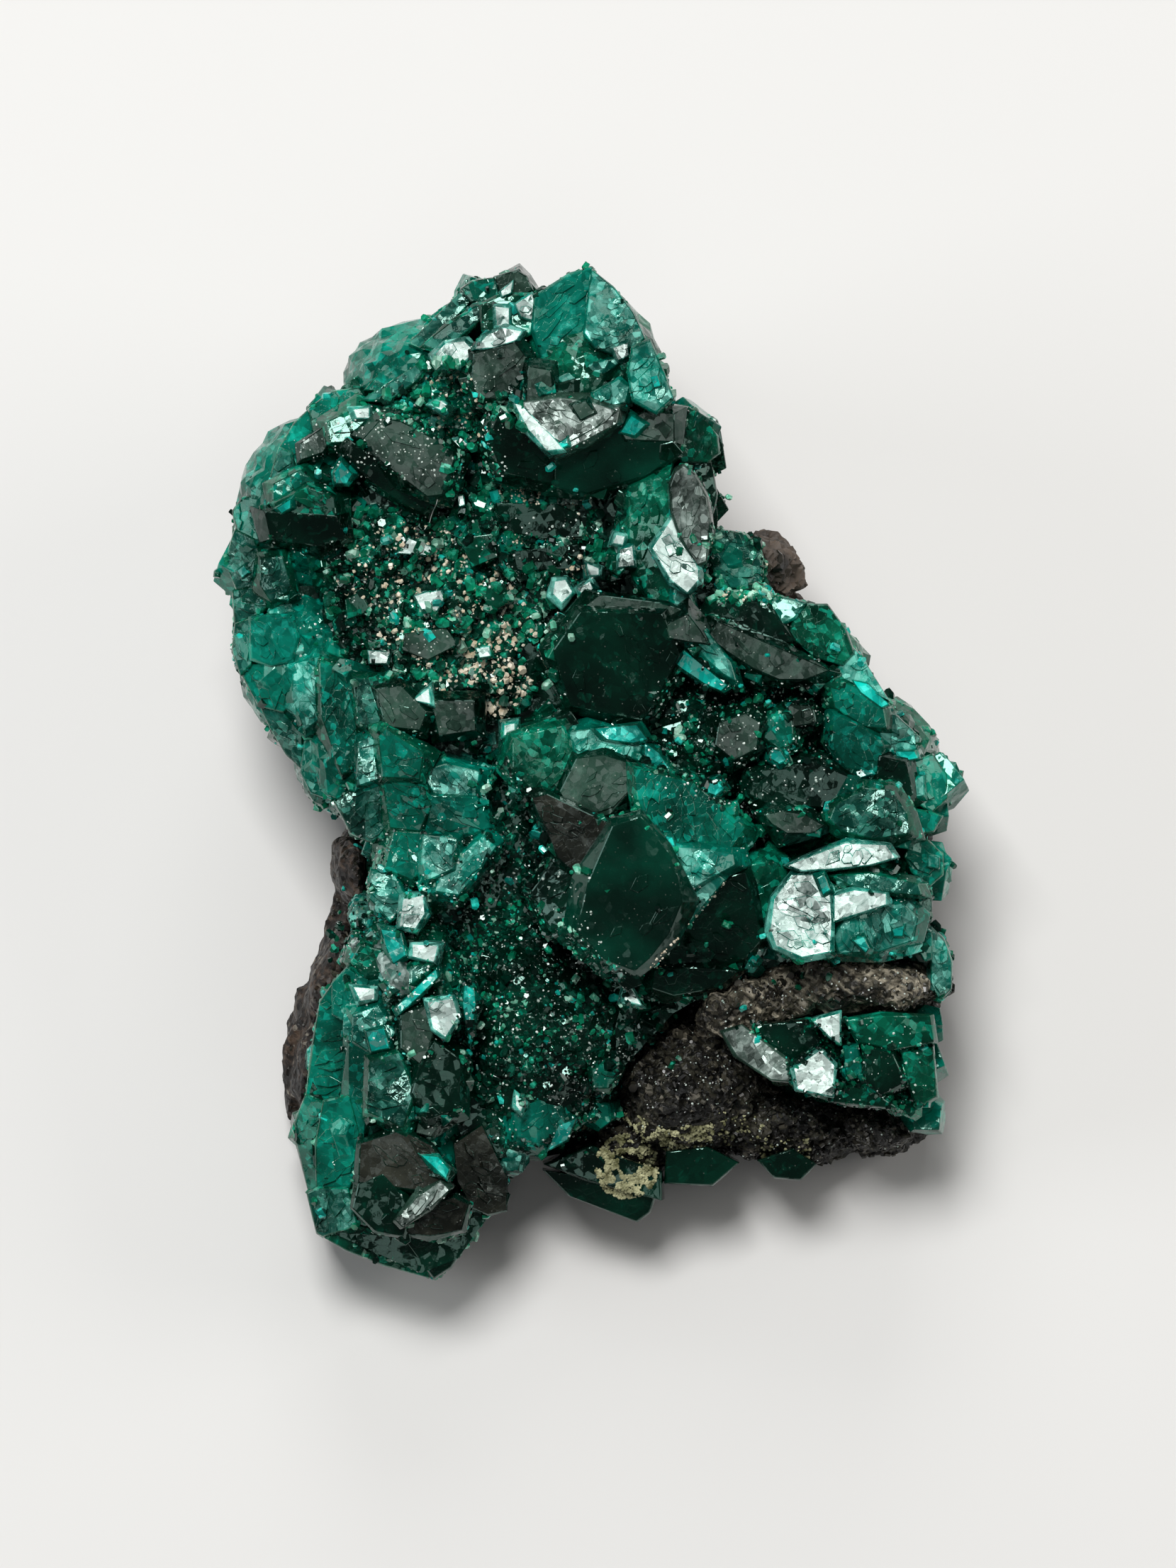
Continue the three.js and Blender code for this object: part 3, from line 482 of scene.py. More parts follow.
# %% Makers of single crystals
def corners(line):
    """An outline from text: u and v of each corner, with commas between the corners."""
    return [tuple(float(x) for x in corner.split()) for corner in line.split(",")]


def middle_of(outline):
    """The mean of an outline's corners."""
    return (sum(u for u, v in outline) / len(outline), sum(v for u, v in outline) / len(outline))


def spot_near(rng, outline):
    """A random spot within the limits of an outline."""
    all_u, all_v = zip(*outline)
    return rng.uniform(min(all_u), max(all_u)), rng.uniform(min(all_v), max(all_v))


def outlines_of(faces):
    """The outlines of faces alone."""
    return [face["outline"] for face in faces]


def turn_to(axis):
    """The matrix that turns the w axis to another direction."""
    return Vector((0, 0, 1)).rotation_difference(axis).to_matrix().to_4x4()


def read_faces(lines):
    """Faces from text, each: finish, height w, rise along u and v, depth, flare | outline.

    A seventh entry before the bar is the shoulder. Lines set in go on with the face above them.
    """
    faces = []
    for line in lines.strip().replace("\n    ", " ").splitlines():
        if line.startswith("#"):
            continue
        head, outline = line.split("|")
        finish, *numbers = head.split()
        w, rise_u, rise_v, depth, flare, *shoulder = [float(x) for x in numbers]
        face = dict(finish=finish, w=w, lean=(rise_u, rise_v), depth=depth, flare=flare)
        if shoulder:
            face["shoulder"] = shoulder[0]
        faces.append(face | dict(outline=corners(outline)))
    return faces


RHOMB_LEAN = math.radians(51)
# A faced crystal's sides get a darker finish than its face: painted shade on the sides, without the
# painted reflection of a silver, glass or smoke face.
SIDE_FINISH = {"silver": "frost", "cyan": "teal", "smoke": "deep", "frost": "teal", "mist": "emerald",
               "glass": "smoke", "umber": "deep", "teal": "emerald", "bright": "teal"}


def finish_crystal(bm, edge, finish, top=None):
    """Cleans a hull, bevels its edges and gives it one of the crystal finishes.

    With a top normal, only the faces that look that way get the finish, the sides a darker one as
    painted shade.
    """
    bmesh.ops.remove_doubles(bm, verts=bm.verts[:], dist=0.002)
    bmesh.ops.dissolve_limit(bm, angle_limit=0.02, verts=bm.verts[:], edges=bm.edges[:])
    bmesh.ops.bevel(
        bm, geom=bm.edges[:], offset=edge, offset_type="OFFSET", affect="EDGES", segments=1,
        profile=0.5, material=-1, clamp_overlap=True,
    )
    bmesh.ops.recalc_face_normals(bm, faces=bm.faces[:])
    for face in bm.faces:
        is_side = top is not None and face.normal.dot(top) < 0.97
        shown = SIDE_FINISH.get(finish, finish) if is_side else finish
        face.material_index = FINISH_ORDER.index(shown)
    return mesh_from(bm, "crystal")


def faced_crystal(finish, outline, w, lean, depth=7.0, flare=0.5, shoulder=0.3, edge=0.04):
    """A crystal behind a flat face: outline in (u, v), height w at its middle, rise along u and v."""
    mu, mv = middle_of(outline)
    bm = bmesh.new()
    for u, v in outline:
        out = Vector((u - mu, v - mv))
        reach = out.length
        drop = shoulder * (0.7 + 0.3 * math.sin(3 * u + 2 * v))
        for extra, fall in ((0, 0), (min(flare, 0.75 * drop), drop), (flare, depth)):
            at = out.normalized() * (reach + extra)
            face_w = w + lean[0] * out.x + lean[1] * out.y
            bm.verts.new((mu + at.x, mv + at.y, face_w - fall))
    hull = bmesh.ops.convex_hull(bm, input=bm.verts[:])
    spare = hull["geom_interior"] + hull["geom_unused"]
    loose = {e for e in spare if isinstance(e, bmesh.types.BMVert)}
    bmesh.ops.delete(bm, geom=list(loose), context="VERTS")
    return finish_crystal(bm, edge, finish, Vector((-lean[0], -lean[1], 1)).normalized())


def stand(u, v, w, lean=(0, 0), spin=0.0):
    """The matrix that puts a crystal made on the w axis with its tip at (u, v, w)."""
    turn = turn_to(Vector((lean[0], lean[1], 1)).normalized())
    return Matrix.Translation((u, v, w)) @ turn @ Matrix.Rotation(spin, 4, "Z")


def whole_crystal(finish, radius, length, edge=0.04):
    """A six-sided crystal with its tip at the origin and its body down the w axis."""
    bm = bmesh.new()
    bmesh.ops.create_cone(
        bm, cap_ends=True, segments=6, radius1=radius * 0.9, radius2=radius, depth=length,
    )
    bmesh.ops.translate(bm, verts=bm.verts[:], vec=(0, 0, -length / 2 + 0.001))
    for k in range(3):
        angle = math.radians(120 * k)
        normal = Vector((
            math.cos(angle) * math.sin(RHOMB_LEAN),
            math.sin(angle) * math.sin(RHOMB_LEAN),
            math.cos(RHOMB_LEAN),
        ))
        cut = bmesh.ops.bisect_plane(
            bm, geom=bm.verts[:] + bm.edges[:] + bm.faces[:], dist=0.0001,
            plane_co=(0, 0, 0), plane_no=normal, clear_outer=True,
        )
        rim = [e for e in cut["geom_cut"] if isinstance(e, bmesh.types.BMEdge)]
        bmesh.ops.contextual_create(bm, geom=rim)
    return finish_crystal(bm, edge, finish)


probe = whole_crystal("deep", 1.0, 4.0)
print("a whole crystal has", len(probe.polygons), "faces")

# %% [markdown]
# ## The main mass
# The large crystals are placed one by one, each with the finish that its real counterpart shows. They
# are grown together for real with a boolean union, which leaves sharp lines where two crystals meet and
# bevelled edges everywhere else.

# %% Faces of the main mass
# Silver, glass and smoke faces hold painted reflections in their colour, and the small cyan faces
# painted flashes from inside.
FACED = read_faces("""
# upper right block: the clear peak, its frosted side and the ledge below it
bright 1.9 -0.12 0.02 8 0.2 | -2.8 25.8, -1.8 26.1, -1 26.9, 0.2 27.3, 0.5 25, -0.2 23.8, -0.9 22.4,
    -2.4 22.3, -2.9 24
frost 2.3 -0.2 -0.15 8 0.1 | 0.2 27.2, 1.4 26.2, 2.4 24.9, 3 23.6, 2.2 22.4, 0.4 23, -0.2 23.8, 0.5 25
silver 2.9 0.06 -0.24 4 0.2 | 1.3 23, 2.1 23.3, 2.2 22.6, 1.6 22.3
frost 4.6 0.14 0.12 10 0.3 | 2.4 22.9, 3.3 23.3, 4 21.6, 4.5 20.3, 3.6 19.5, 2.4 20.2, 2.2 21.6
cyan 4.8 0.14 0.12 2 0.1 | 3.3 21.4, 3.7 21.5, 3.9 20.9, 3.5 20.8
emerald 2.3 0 0.35 6 0.3 | -2.6 22.3, 0 22.5, 3 22.2, 2.2 21.1, -0.4 21.5, -1.8 21
frost 2.7 0.03 -0.1 2 0.1 | -1.7 21.4, 0.2 22.2, 2.1 22.5, 0.8 21.6, -1.4 21.15
smoke 3.3 -0.04 0.1 5 0.4 | -3.2 22, -2 21.8, -1.9 21, -2.5 20.2, -3.3 20.1
deep 2.6 -0.05 0.25 6 0.3 | -1.8 21, -0.3 21.4, 2.2 21, 2 19.6, 0.2 20.3, -1.4 19.8
frost 3.3 0.02 0.02 5 0.3 | 0.3 20.6, 1.6 21.3, 2.2 20.9, 2 20.1, 1 19.8, 0.3 20.1
glass 3.75 0.05 -0.14 6 0.2 | -3.9 20, -1.65 17.6, 0.4 18.7, 1.5 19.6, 0 20.1, -1.6 20.3
smoke 4 0.02 0.06 5 0.1 | -0.9 19.9, -0.1 20.1, 0.4 19.5, -0.4 19.1
silver 3.9 0.07 -0.2 6 0.1 | -4 20.1, -3.5 19.9, -2.5 18.7, -1.7 18.05, -1.3 17.55, -2.2 17.45, -3.2
    18.6
glass 3.8 0.04 -0.16 6 0.1 | -1.8 17.95, -1.2 17.5, 0 18.1, 1.5 18.9, 1.7 19.8, 0.2 19.5, -0.9 18.9
cyan 4.1 0.2 -0.1 1.5 0.1 | -1.7 17.8, -1.1 18.2, -1.05 17.75, -1.4 17.6
deep 2.1 -0.1 0.5 7 0.4 | -4.6 19.7, -3.4 18.4, -2.2 17.2, -1.7 17.1, -1.9 15.8, -4.6 16.4, -5.3 18.2
green 1.9 0.05 0.5 7 0.4 | -1.7 17.2, -0.8 17.4, 1.5 18.8, 4.3 18, 4.6 17.2, 3 16.2, 0 15.3, -1.7 15.6
smoke 2.7 -0.04 0.12 5 0.3 | 1.6 18.8, 3 19.6, 4.6 19.5, 4.6 18, 3.4 18.2, 2 18.1
cyan 3 0.1 0.3 2 0.1 | 1.7 18.5, 2.3 19.4, 3.1 18.9, 2.5 18.3
emerald 0.7 -0.3 -0.1 7 0.1 | 4.7 20, 5.4 19.9, 6.3 19.2, 6.9 18.4, 7 17.5, 6.4 17, 5 17, 4.6 18.4
deep -0.5 -0.5 0 6 0.1 | 4.6 17, 6.6 17.1, 6.9 15.3, 6.7 14.2, 6.3 14, 5.6 16.6
# crest
teal -0.9 0.25 -0.5 6 0.1 | -12 20.9, -10.8 22.2, -9.4 23.4, -8.9 22.9, -10 21.8, -11.2 20.8
mist -0.4 0.25 -0.55 6 0.1 | -9.6 23.4, -8.2 24.6, -6.9 26.1, -6.2 26.4, -6.4 25.5, -7.6 24.3, -8.8 23
mist 0.9 0.2 -0.4 5 0.2 | -8.9 23.2, -7.4 24.4, -5.9 25.3, -5.5 24.8, -6.8 23.7, -8 22.9
frost 0.8 0.15 -0.3 4 0.1 | -7.6 23.9, -6.2 25.2, -4.9 25.7, -5 25.2, -6.2 24.2, -7.2 23.5
teal -0.2 0.1 -0.45 6 0.1 | -6.8 26.3, -6.2 26.7, -5 26.9, -4.6 26.5, -5 25.6, -6.2 25.6
smoke 0.5 -0.12 -0.05 6 0.1 | -5 26.9, -3.8 27.2, -3.3 26.9, -3 26.2, -3.6 25.8, -4.7 26
silver 1.0 0.06 -0.26 3 0.1 | -4.7 26.1, -4 26.7, -4.1 26, -4.6 25.8
emerald 1.1 0 -0.3 7 0.2 | -5.7 25.4, -4.6 25.9, -3 26, -2.6 24.2, -3.4 23.7, -5.6 24
silver 1.7 0.05 -0.28 3 0.1 | -5 25.3, -4.2 25.2, -4.2 24.2, -4.9 24.2
silver 1.5 -0.02 -0.2 3 0.1 | -3.9 25.4, -3 26, -2.6 25.3, -2.9 24.5, -3.6 24.7
silver 2.5 0.08 -0.24 5 0.1 | -8.2 22.7, -7.9 22.1, -6.9 22, -6 22.8, -6.6 23.4, -7.6 23.3
silver 2.9 0.05 -0.24 4 0.1 | -6.1 22.9, -5.4 23.7, -4.5 24.1, -3.5 23.9, -3.8 23.4, -5 23
smoke 2.9 -0.05 0.09 7 0.4 | -6.1 22.7, -5 23, -3.9 23.3, -3.3 22.5, -3.7 21, -4.6 20.3, -5.9 20.3, -6.2
    21.3
mist 0.5 0.15 -0.3 5 0.2 | -12.2 20.3, -10.4 21.3, -9 22.3, -8.4 22.3, -9.2 21.3, -10.6 20.3
# upper left
teal -1.3 0.15 -0.5 5 0.1 | -15 19.9, -13.8 20.8, -12.4 21, -11.9 20.4, -13.4 19.5, -14.8 19.1
teal -1.5 0.5 -0.35 5 0.1 | -16.6 17.8, -15.8 19.1, -15 19.9, -14.6 19.1, -15.4 17.7, -16.2 17.1
mist -1.0 0.5 -0.1 5 0.1 | -17.1 16.1, -16.6 17.8, -15.9 17.5, -15.6 16.2, -16.6 15.5
smoke 0.1 0.2 -0.1 4 0.2 | -15.4 18, -14 19, -13.6 18.5, -14.2 17.5, -15.4 17.1
emerald 0.6 0.1 -0.15 5 0.3 | -14 19.1, -12.4 19.9, -11.2 19.6, -11 18.6, -12.2 18.1, -13.8 18
silver 0.9 0.06 -0.24 2 0.1 | -12.6 19.8, -11.7 19.9, -11.7 19.3, -12.4 19.3
smoke 1.7 0.02 0.1 6 0.3 | -12 18.2, -11 19.3, -10 19.1, -7.9 18, -7.1 17.2, -7.8 15.2, -8.6 15.1, -10
    16.3, -11.6 17.4
deep 0.7 0.1 0.7 5 0.2 | -12.6 18, -11.6 17.2, -10 16.1, -8.4 14.9, -8.8 14.2, -10 14.8, -12 16.2, -12.8
    17.2
cyan 1.1 0.1 0.1 3 0.1 | -13.6 16.4, -13.2 17, -12.6 16.3, -12.9 15.8, -13.5 15.8
teal 0.1 0.15 -0.1 5 0.2 | -16.9 15.8, -15.4 16.6, -14.6 15.9, -15.2 15, -16.9 14.9
emerald 0.6 0.05 0.12 5 0.2 | -16.7 14.8, -15 15.6, -13.6 15.1, -13.5 14.2, -14.6 13.9, -16.4 14.2
cyan 0.9 0.2 0.3 2 0.1 | -16.7 14.5, -15.9 15, -15.9 14.5, -16.4 14.2
deep 0.4 0.0 0.35 5 0.2 | -17.3 14.3, -15 13.9, -13.5 14.1, -13 12.9, -14.6 12.5, -17 12.9
teal -2 0.6 -0.1 5 0.1 | -18.6 15.1, -17.6 15.3, -17.3 14.4, -17.4 13, -18 12.4, -18.9 13.4, -19.1 14.4
mist -1.9 0.6 0.0 5 0.1 | -19 13.4, -18 12.9, -17.5 11.8, -17.8 10.4, -18.9 10.2, -19.5 11.7
cyan -1.6 0.5 0 1.5 0.1 | -18.9 11.2, -18.5 11.5, -18.2 11.1, -18.6 10.8
mist -1.8 0.55 0.05 5 0.1 | -19.1 10.1, -17.8 10.4, -17 9.6, -17.6 8.9, -19 8.4
mist -0.6 0.4 0 5 0.2 | -17.6 11.8, -16.4 12, -15.9 10.2, -17 9.5, -17.6 10.4
mist -1.9 0.7 0.1 5 0.1 | -19 8.3, -18.2 8.6, -18.1 6.2, -18.7 5.6, -19.1 7
bright -0.7 0.33 0.2 5 0.2 | -18.1 8.6, -16.9 8.8, -15.9 8.7, -15.6 7.6, -15.9 6.4, -17 6.1, -18.1 6.5
teal -1.7 0.5 0.3 5 0.1 | -18.6 5.6, -18 6.2, -16.6 6, -15.9 6.2, -15.3 4.6, -16.4 3.6, -17.7 4
mist -2.6 0.55 0.4 5 0.1 | -17.7 4, -16.4 3.6, -15.4 2.4, -15.4 0.5, -16.3 1.4, -17 2.6
frost -0.7 0.4 0.05 5 0.2 | -15.8 6.2, -14.4 6.6, -14.2 3.4, -15.2 2.6, -15.9 4.4
# below the vug, left
teal 0.1 0.25 0.05 6 0.2 | -14.4 6.3, -12.7 5.8, -12.4 3.2, -12.4 0.8, -13.2 0.2, -14.3 3.4
bright -1.6 0.5 0.1 5 0.1 | -15.2 2.5, -14.3 3.3, -13.2 0.2, -13.8 -1.1, -14.9 -0.7, -15.4 0.4
mist 0.8 0.15 0.05 5 0.2 | -12.6 5.5, -10.6 5.1, -10.9 3, -11.2 2.4, -12.3 3
smoke 1.3 0.03 0.1 5 0.2 | -11.4 4.8, -10 5, -8.6 3.6, -9 2.6, -10.8 2.8
teal 2 0.12 0.08 6 0.2 | -11.2 2.3, -10.8 2.7, -8.8 1.4, -9 0, -11 0.1
frost 1.1 0.3 0 5 0.1 | -11.2 2.5, -11.2 0, -12.4 -0.4, -12.3 2
smoke 0.9 0.05 0.12 5 0.3 | -8.4 4.2, -6.1 4.2, -6 2.6, -8 2.3
mist 0.2 0.3 0.2 5 0.1 | -13.6 -1.2, -12.4 -0.4, -11 0, -10.6 -2.6, -11.6 -3.4, -12.7 -2.9
teal 1.3 0.1 0.1 5 0.2 | -11 0, -9 0, -8.4 -1.4, -9 -2.8, -10.6 -2.6
frost 1.1 0.04 -0.1 5 0.2 | -9 0.4, -7.6 0.8, -5.8 0.4, -6 -1, -8.2 -0.8
bright 1.2 0 0.2 5 0.2 | -8.4 -0.9, -6 -1, -5.2 -2.6, -6.8 -3, -8.6 -2.8
# beside the vug
glass 3.6 0.0 0.1 8 0.5 | 4.4 15.6, 4.7 16.4, 5.1 16.7, 5.7 16.2, 6.3 15, 6.5 13.6, 6.3 11.6, 5.8 11.4,
    4.9 13, 4.5 14.2
silver 3.2 0.1 -0.2 6 0.3 | 4.5 14, 5 13, 5.9 11.2, 5.9 10.6, 5.3 9.9, 4.4 10.6, 3.4 12.3, 3.9 12.9
emerald 1.4 0.45 0.1 7 0.2 | 2.2 15.6, 4.4 16.5, 4.4 14.2, 3.6 12.6, 3.4 11.6, 4.4 10.3, 4.4 9.5, 3.6
    9.4, 2.6 11, 2.2 13
frost 2.6 0.1 0.1 4 0.2 | 4.6 10.2, 5.4 9.9, 5.8 9, 5.2 8.8, 4.6 9.3
mist -1.2 -0.35 -0.1 4 0.1 | 6.8 13.4, 8.3 13.2, 9.3 12.2, 9.4 10.8, 8.6 9.9, 7.2 10.2, 6.6 11.6
# middle
deep 3.2 0.02 0.34 8 0.8 | -1.8 6.9, -0.4 8.9, 3.9 8.8, 4.9 6.6, 2.9 3.1, -0.9 3.9
smoke 3.3 0.02 0.14 6 0.5 | -0.6 8.9, 0.6 9.8, 3.8 9.4, 5.4 8.9, 4.1 8.4, 0.6 8.6
smoke 3.8 0.02 0.1 6 0.4 | 4.1 8.2, 5.3 8.8, 6 7.9, 6.4 7.2, 5.4 7.3, 4.3 7.5
frost 3.5 0.1 0.12 5 0.2 | 6 8, 6.4 7.8, 7.6 6.2, 7.9 5.2, 7.2 5.6, 6.3 6.4, 5.6 7.3
smoke 3.2 -0.05 0.1 7 0.4 | 6.9 8.4, 8.4 7.7, 10 7, 12.9 5.8, 11.6 5.3, 10.2 5.3, 8.8 5.9, 7.4 6.8, 6.4
    7.6
cyan 3.1 0.15 0.1 3 0.1 | 4.3 6.9, 5.2 6.8, 6.2 5.8, 7.4 5, 7.1 4.7, 6.2 5.1, 5 5.9, 4.4 6.4
deep 2 0.1 0.02 6 0.3 | 6 8.6, 7.2 9.3, 9.2 9.8, 9.3 8.6, 11 7.4, 9.9 7.1, 7.4 8.5
bright 1.9 0 -0.25 5 0.2 | 9.2 9, 10.2 9.7, 11.6 9.4, 11 8.6, 10 8.1
emerald 1.6 -0.2 -0.2 6 0.1 | 11 8.6, 11.7 9.3, 12.8 9.3, 13.8 7.9, 14.2 6.8, 13.6 6.1, 12.2 6.5, 10.8
    7.7
frost 1.4 -0.2 -0.25 5 0.1 | 14.2 7, 14.6 6.6, 15.5 5.1, 16.1 4.2, 15.2 4.7, 13.2 5.6, 13.6 6.3
cyan 1.6 -0.3 -0.2 2 0.1 | 14.1 5.3, 15 5.1, 16.1 4, 15.7 3.8, 14.6 4.6
teal 1.6 -0.2 -0.05 6 0.2 | 12.8 5.5, 14.4 4.9, 15.8 3.8, 16 2.7, 14.8 2.8, 13.2 3.8
emerald 2.9 -0.06 0.1 6 0.3 | -4 2.2, -1.4 2.8, -0.6 1, -1.6 -0.6, -3 -0.6, -4 0.6
smoke 3.3 0.05 0.15 6 0.3 | -0.6 1.1, 0.8 1.3, 2.4 0.8, 2.3 -0.6, 1.2 -1.9, -0.6 -2.3, -1.5 -0.7
frost 2.9 -0.06 -0.3 5 0.2 | -1 2.5, 0.3 2.7, 1 2.1, 2.9 1.8, 2.4 0.9, 0.6 1.4, -0.5 1.2
cyan 3.1 -0.08 -0.3 4 0.1 | 0.3 2.7, 1.4 2.6, 2.6 2.9, 3.2 2.1, 2.4 1.9, 1 2.1
cyan 2.9 -0.1 -0.3 4 0.1 | 3 2, 3.8 1.4, 4.4 0.5, 3.6 0.7, 3 1.3
smoke 2.8 0.03 0.1 6 0.4 | 7 3, 8.4 3.5, 9.2 3, 9 1.6, 7.8 1, 6.8 1.8
teal 2.5 0.1 0 6 0.3 | 9.6 3.2, 10.8 3.6, 11 2, 10.2 1.6, 9.4 2.2
smoke 2.4 -0.05 0.12 5 0.3 | 10.6 4, 12 3.9, 12.2 3, 11 2.8
cyan 2.7 0.1 -0.1 2 0.1 | 9.8 1.6, 10.3 1.5, 10.6 1, 10.2 0.8, 9.7 1.1
cyan 3.3 0.1 0 3 0.1 | 6.3 -0.2, 6.9 -0.1, 7.3 -0.5, 6.8 -0.9, 6.3 -0.7
teal 3.2 0 0.1 3 0.1 | 7.3 -1.5, 7.8 -1.4, 7.9 -1.9, 7.4 -2
# right rim
bright 1.8 -0.2 0.05 6 0.2 | 13.2 3.4, 14.6 2.8, 15.8 1.8, 15.4 0.4, 13.8 0.6, 13 2
frost 0.7 -0.4 -0.1 5 0.1 | 15.8 3.5, 16.5 3.4, 17.8 2.2, 17.6 1.6, 16 1.4, 15.6 2.4
cyan 1 -0.3 0 2 0.1 | 16.4 1.5, 17.5 1.5, 17.7 1.1, 16.6 0.9
deep 1.3 -0.2 0.15 6 0.2 | 15.6 1.2, 17 0.9, 17.4 -0.8, 16.6 -1.4, 15.4 -0.4
teal -0.3 -0.6 0 6 0.1 | 17.2 0.8, 18.5 1.3, 19.2 0.2, 19.3 -1, 18.4 -1.8, 17.3 -1
frost 0.6 -0.4 -0.1 3 0.1 | 17.2 -0.3, 18 0.3, 18 -0.9, 17.3 -1
teal 0.1 -0.5 0.2 6 0.1 | 17.4 -1.6, 18.4 -1.8, 19 -2, 18.5 -2.8, 17.4 -3
mist 2.7 -0.06 0.08 6 0.3 | 13.2 -1.4, 14.8 -0.5, 16.2 -0.6, 17 -1.8, 17.2 -2.9, 15.2 -3.2, 13.6 -2.8,
    12.9 -2.2
smoke 2.8 0.02 0.1 6 0.4 | 9.4 -1.9, 10.4 -1.7, 11.6 -1.9, 12.6 -2.5, 12 -2.9, 10.6 -2.9, 9.8 -2.4
deep 2.1 0 0.15 6 0.3 | 9 0.4, 12 0.9, 14 0.1, 13 -1.5, 10 -1.5, 8.6 -0.8
teal 0.4 -0.5 0 6 0.1 | 17.2 -3.4, 18.2 -3.3, 19 -4.1, 19 -5.1, 18.3 -5.7, 17.4 -5, 17 -4.2
frost 0.6 -0.4 0 3 0.1 | 18.2 -4, 18.8 -4.2, 18.8 -4.8, 18.2 -4.7
# the big rhombic crystal
umber 4 0.35 0.1 8 0.4 | -3 -1, -2.2 -0.8, -1 -2, -0.2 -2.6, 1.2 -2.4, 0 -4, 0 -5.6, -1.6 -4.2
deep 3 0.5 0.1 7 0.4 | -1.7 -4.2, 0 -5.7, -0.6 -7.8, -2 -8, -3 -6
green 5.6 0.06 0.23 10 0.9 | 1.3 -2.5, 2.8 -2, 4.2 -3.8, 4.7 -5, 5 -6.5, 4.3 -8.2, 3.3 -9.5, 2.5 -10.2,
    0.9 -9.6, -0.6 -8, 0 -5.5
teal 3.7 -0.22 -0.04 7 0.3 | 2.4 0.6, 3.8 0.2, 5.6 -0.2, 6.6 -1.4, 8.4 -2.6, 7.6 -3.8, 6 -3.6, 4.6 -3.8,
    2.8 -2
frost 4.3 -0.15 -0.15 6 0.2 | 4.4 -3.6, 6.2 -3.7, 7.7 -4, 7.8 -4.6, 5.4 -5.9, 4.9 -5.4
cyan 4.9 -0.2 -0.1 2 0.1 | 4.1 -3, 4.5 -3.1, 5.2 -5.2, 4.9 -5.3
frost 3.9 -0.3 0.25 5 0.1 | 3.3 -9.9, 4.3 -8.9, 6.2 -6.7, 7.3 -5.4, 6.9 -5.1, 5 -6.6, 3.5 -8.9
deep 1.5 -0.12 0.55 7 0.4 | 4.2 -9.2, 6.4 -6.8, 7.6 -5.2, 8.4 -5, 8.9 -6.6, 9.3 -8.6, 8.4 -9.6, 7.4 -10,
    5.6 -10, 3.9 -9.9
deep 0.7 0 0.6 6 0.2 | 3.6 -10.2, 5.6 -10.1, 8 -10.3, 7 -11.2, 4.6 -11.6, 3.4 -11.2
silver 3.2 0.08 -0.24 6 0.1 | 2.1 -10.8, 2.9 -12.1, 1.9 -11.8
# lower right block
silver 3.6 0.05 -0.24 7 0.3 | 10.6 -4.6, 12 -4.2, 12.9 -3.9, 13.7 -3.4, 15.9 -3.5, 16.4 -4.2, 15 -4.6,
    13 -4.8, 11.4 -4.9
silver 3.7 0.09 -0.22 8 0.4 | 9.9 -6.4, 10.9 -5.1, 12.2 -5.1, 12.9 -6, 13 -7.6, 12.9 -9.2, 11.4 -9.5, 10
    -8.9, 9.7 -8
silver 3.7 0.04 -0.19 6 0.2 | 13.1 -6.2, 14.2 -5.9, 15.9 -6.1, 15.9 -6.7, 14 -7.2, 13.1 -7.6
mist 3.2 -0.05 -0.12 6 0.3 | 13.1 -5.2, 15 -5, 16.6 -5.4, 17.6 -5.6, 17.8 -6.2, 16.4 -6.1, 14 -5.7
frost 2.9 -0.15 0.1 7 0.2 | 13.6 -7.6, 15.2 -7, 16.8 -6.6, 17.6 -7.4, 17.4 -8.6, 15.6 -9.2, 13.4 -9.3,
    13.1 -8.4
cyan 3.3 -0.1 0.1 2 0.1 | 14.1 -8.6, 14.7 -8.4, 15 -9, 14.8 -9.3
cyan 2.9 -0.1 0.1 2 0.1 | 16.2 -8, 16.9 -7.8, 16.8 -8.4, 16.3 -8.4
cyan 3.9 0.05 0.1 2 0.1 | 12.2 -5.3, 12.6 -5.1, 12.9 -5.9, 12.5 -6.2
bright 1.2 -0.5 0 5 0.1 | 17.5 -7.6, 18.4 -8.2, 18.4 -9.6, 18 -9.7, 17.5 -8.8
frost -0.2 -0.7 0 6 0.1 | 18.4 -7.9, 19.1 -8.6, 19.5 -9.8, 19.5 -11.2, 18.9 -11.9, 18.4 -11, 18.4 -9.6
teal 1 -0.4 0 6 0.1 | 17.8 -5.9, 18.4 -6, 18.4 -7.6, 17.8 -7.8, 17.6 -6.8
emerald 1.7 -0.3 0.35 7 0.2 | 8.2 -4.7, 9.8 -4.4, 10.8 -5, 9.8 -6.4, 9.5 -8, 8.6 -7.4, 7.8 -6
# lower lobe, upper part
teal 1.2 0.15 0 6 0.2 | -10.4 -2.8, -8.8 -2.9, -8.6 -4.6, -9.4 -5.4, -10.9 -4.8
frost 1.8 0.05 -0.16 5 0.2 | -8.8 -3, -7 -3.2, -7.2 -4.8, -8.5 -5.4, -8.9 -4.4
frost 1.7 0.02 -0.12 5 0.2 | -7.9 -5, -7 -4.8, -5.6 -3, -4.9 -3.6, -5.6 -4.6, -6.9 -6.2, -8.2 -6
frost 0.8 0.25 0 5 0.2 | -11.6 -4.9, -10.3 -5.2, -9.6 -6.6, -10.6 -7.6, -11.7 -6.4
silver 2.2 0.08 -0.2 5 0.2 | -9.9 -6.4, -8.8 -6.2, -8.7 -7.2, -9.2 -8, -10.1 -7.9
silver 2.3 0.08 -0.26 4 0.2 | -9.4 -8.8, -8 -8.9, -8.2 -9.8, -9.4 -9.5
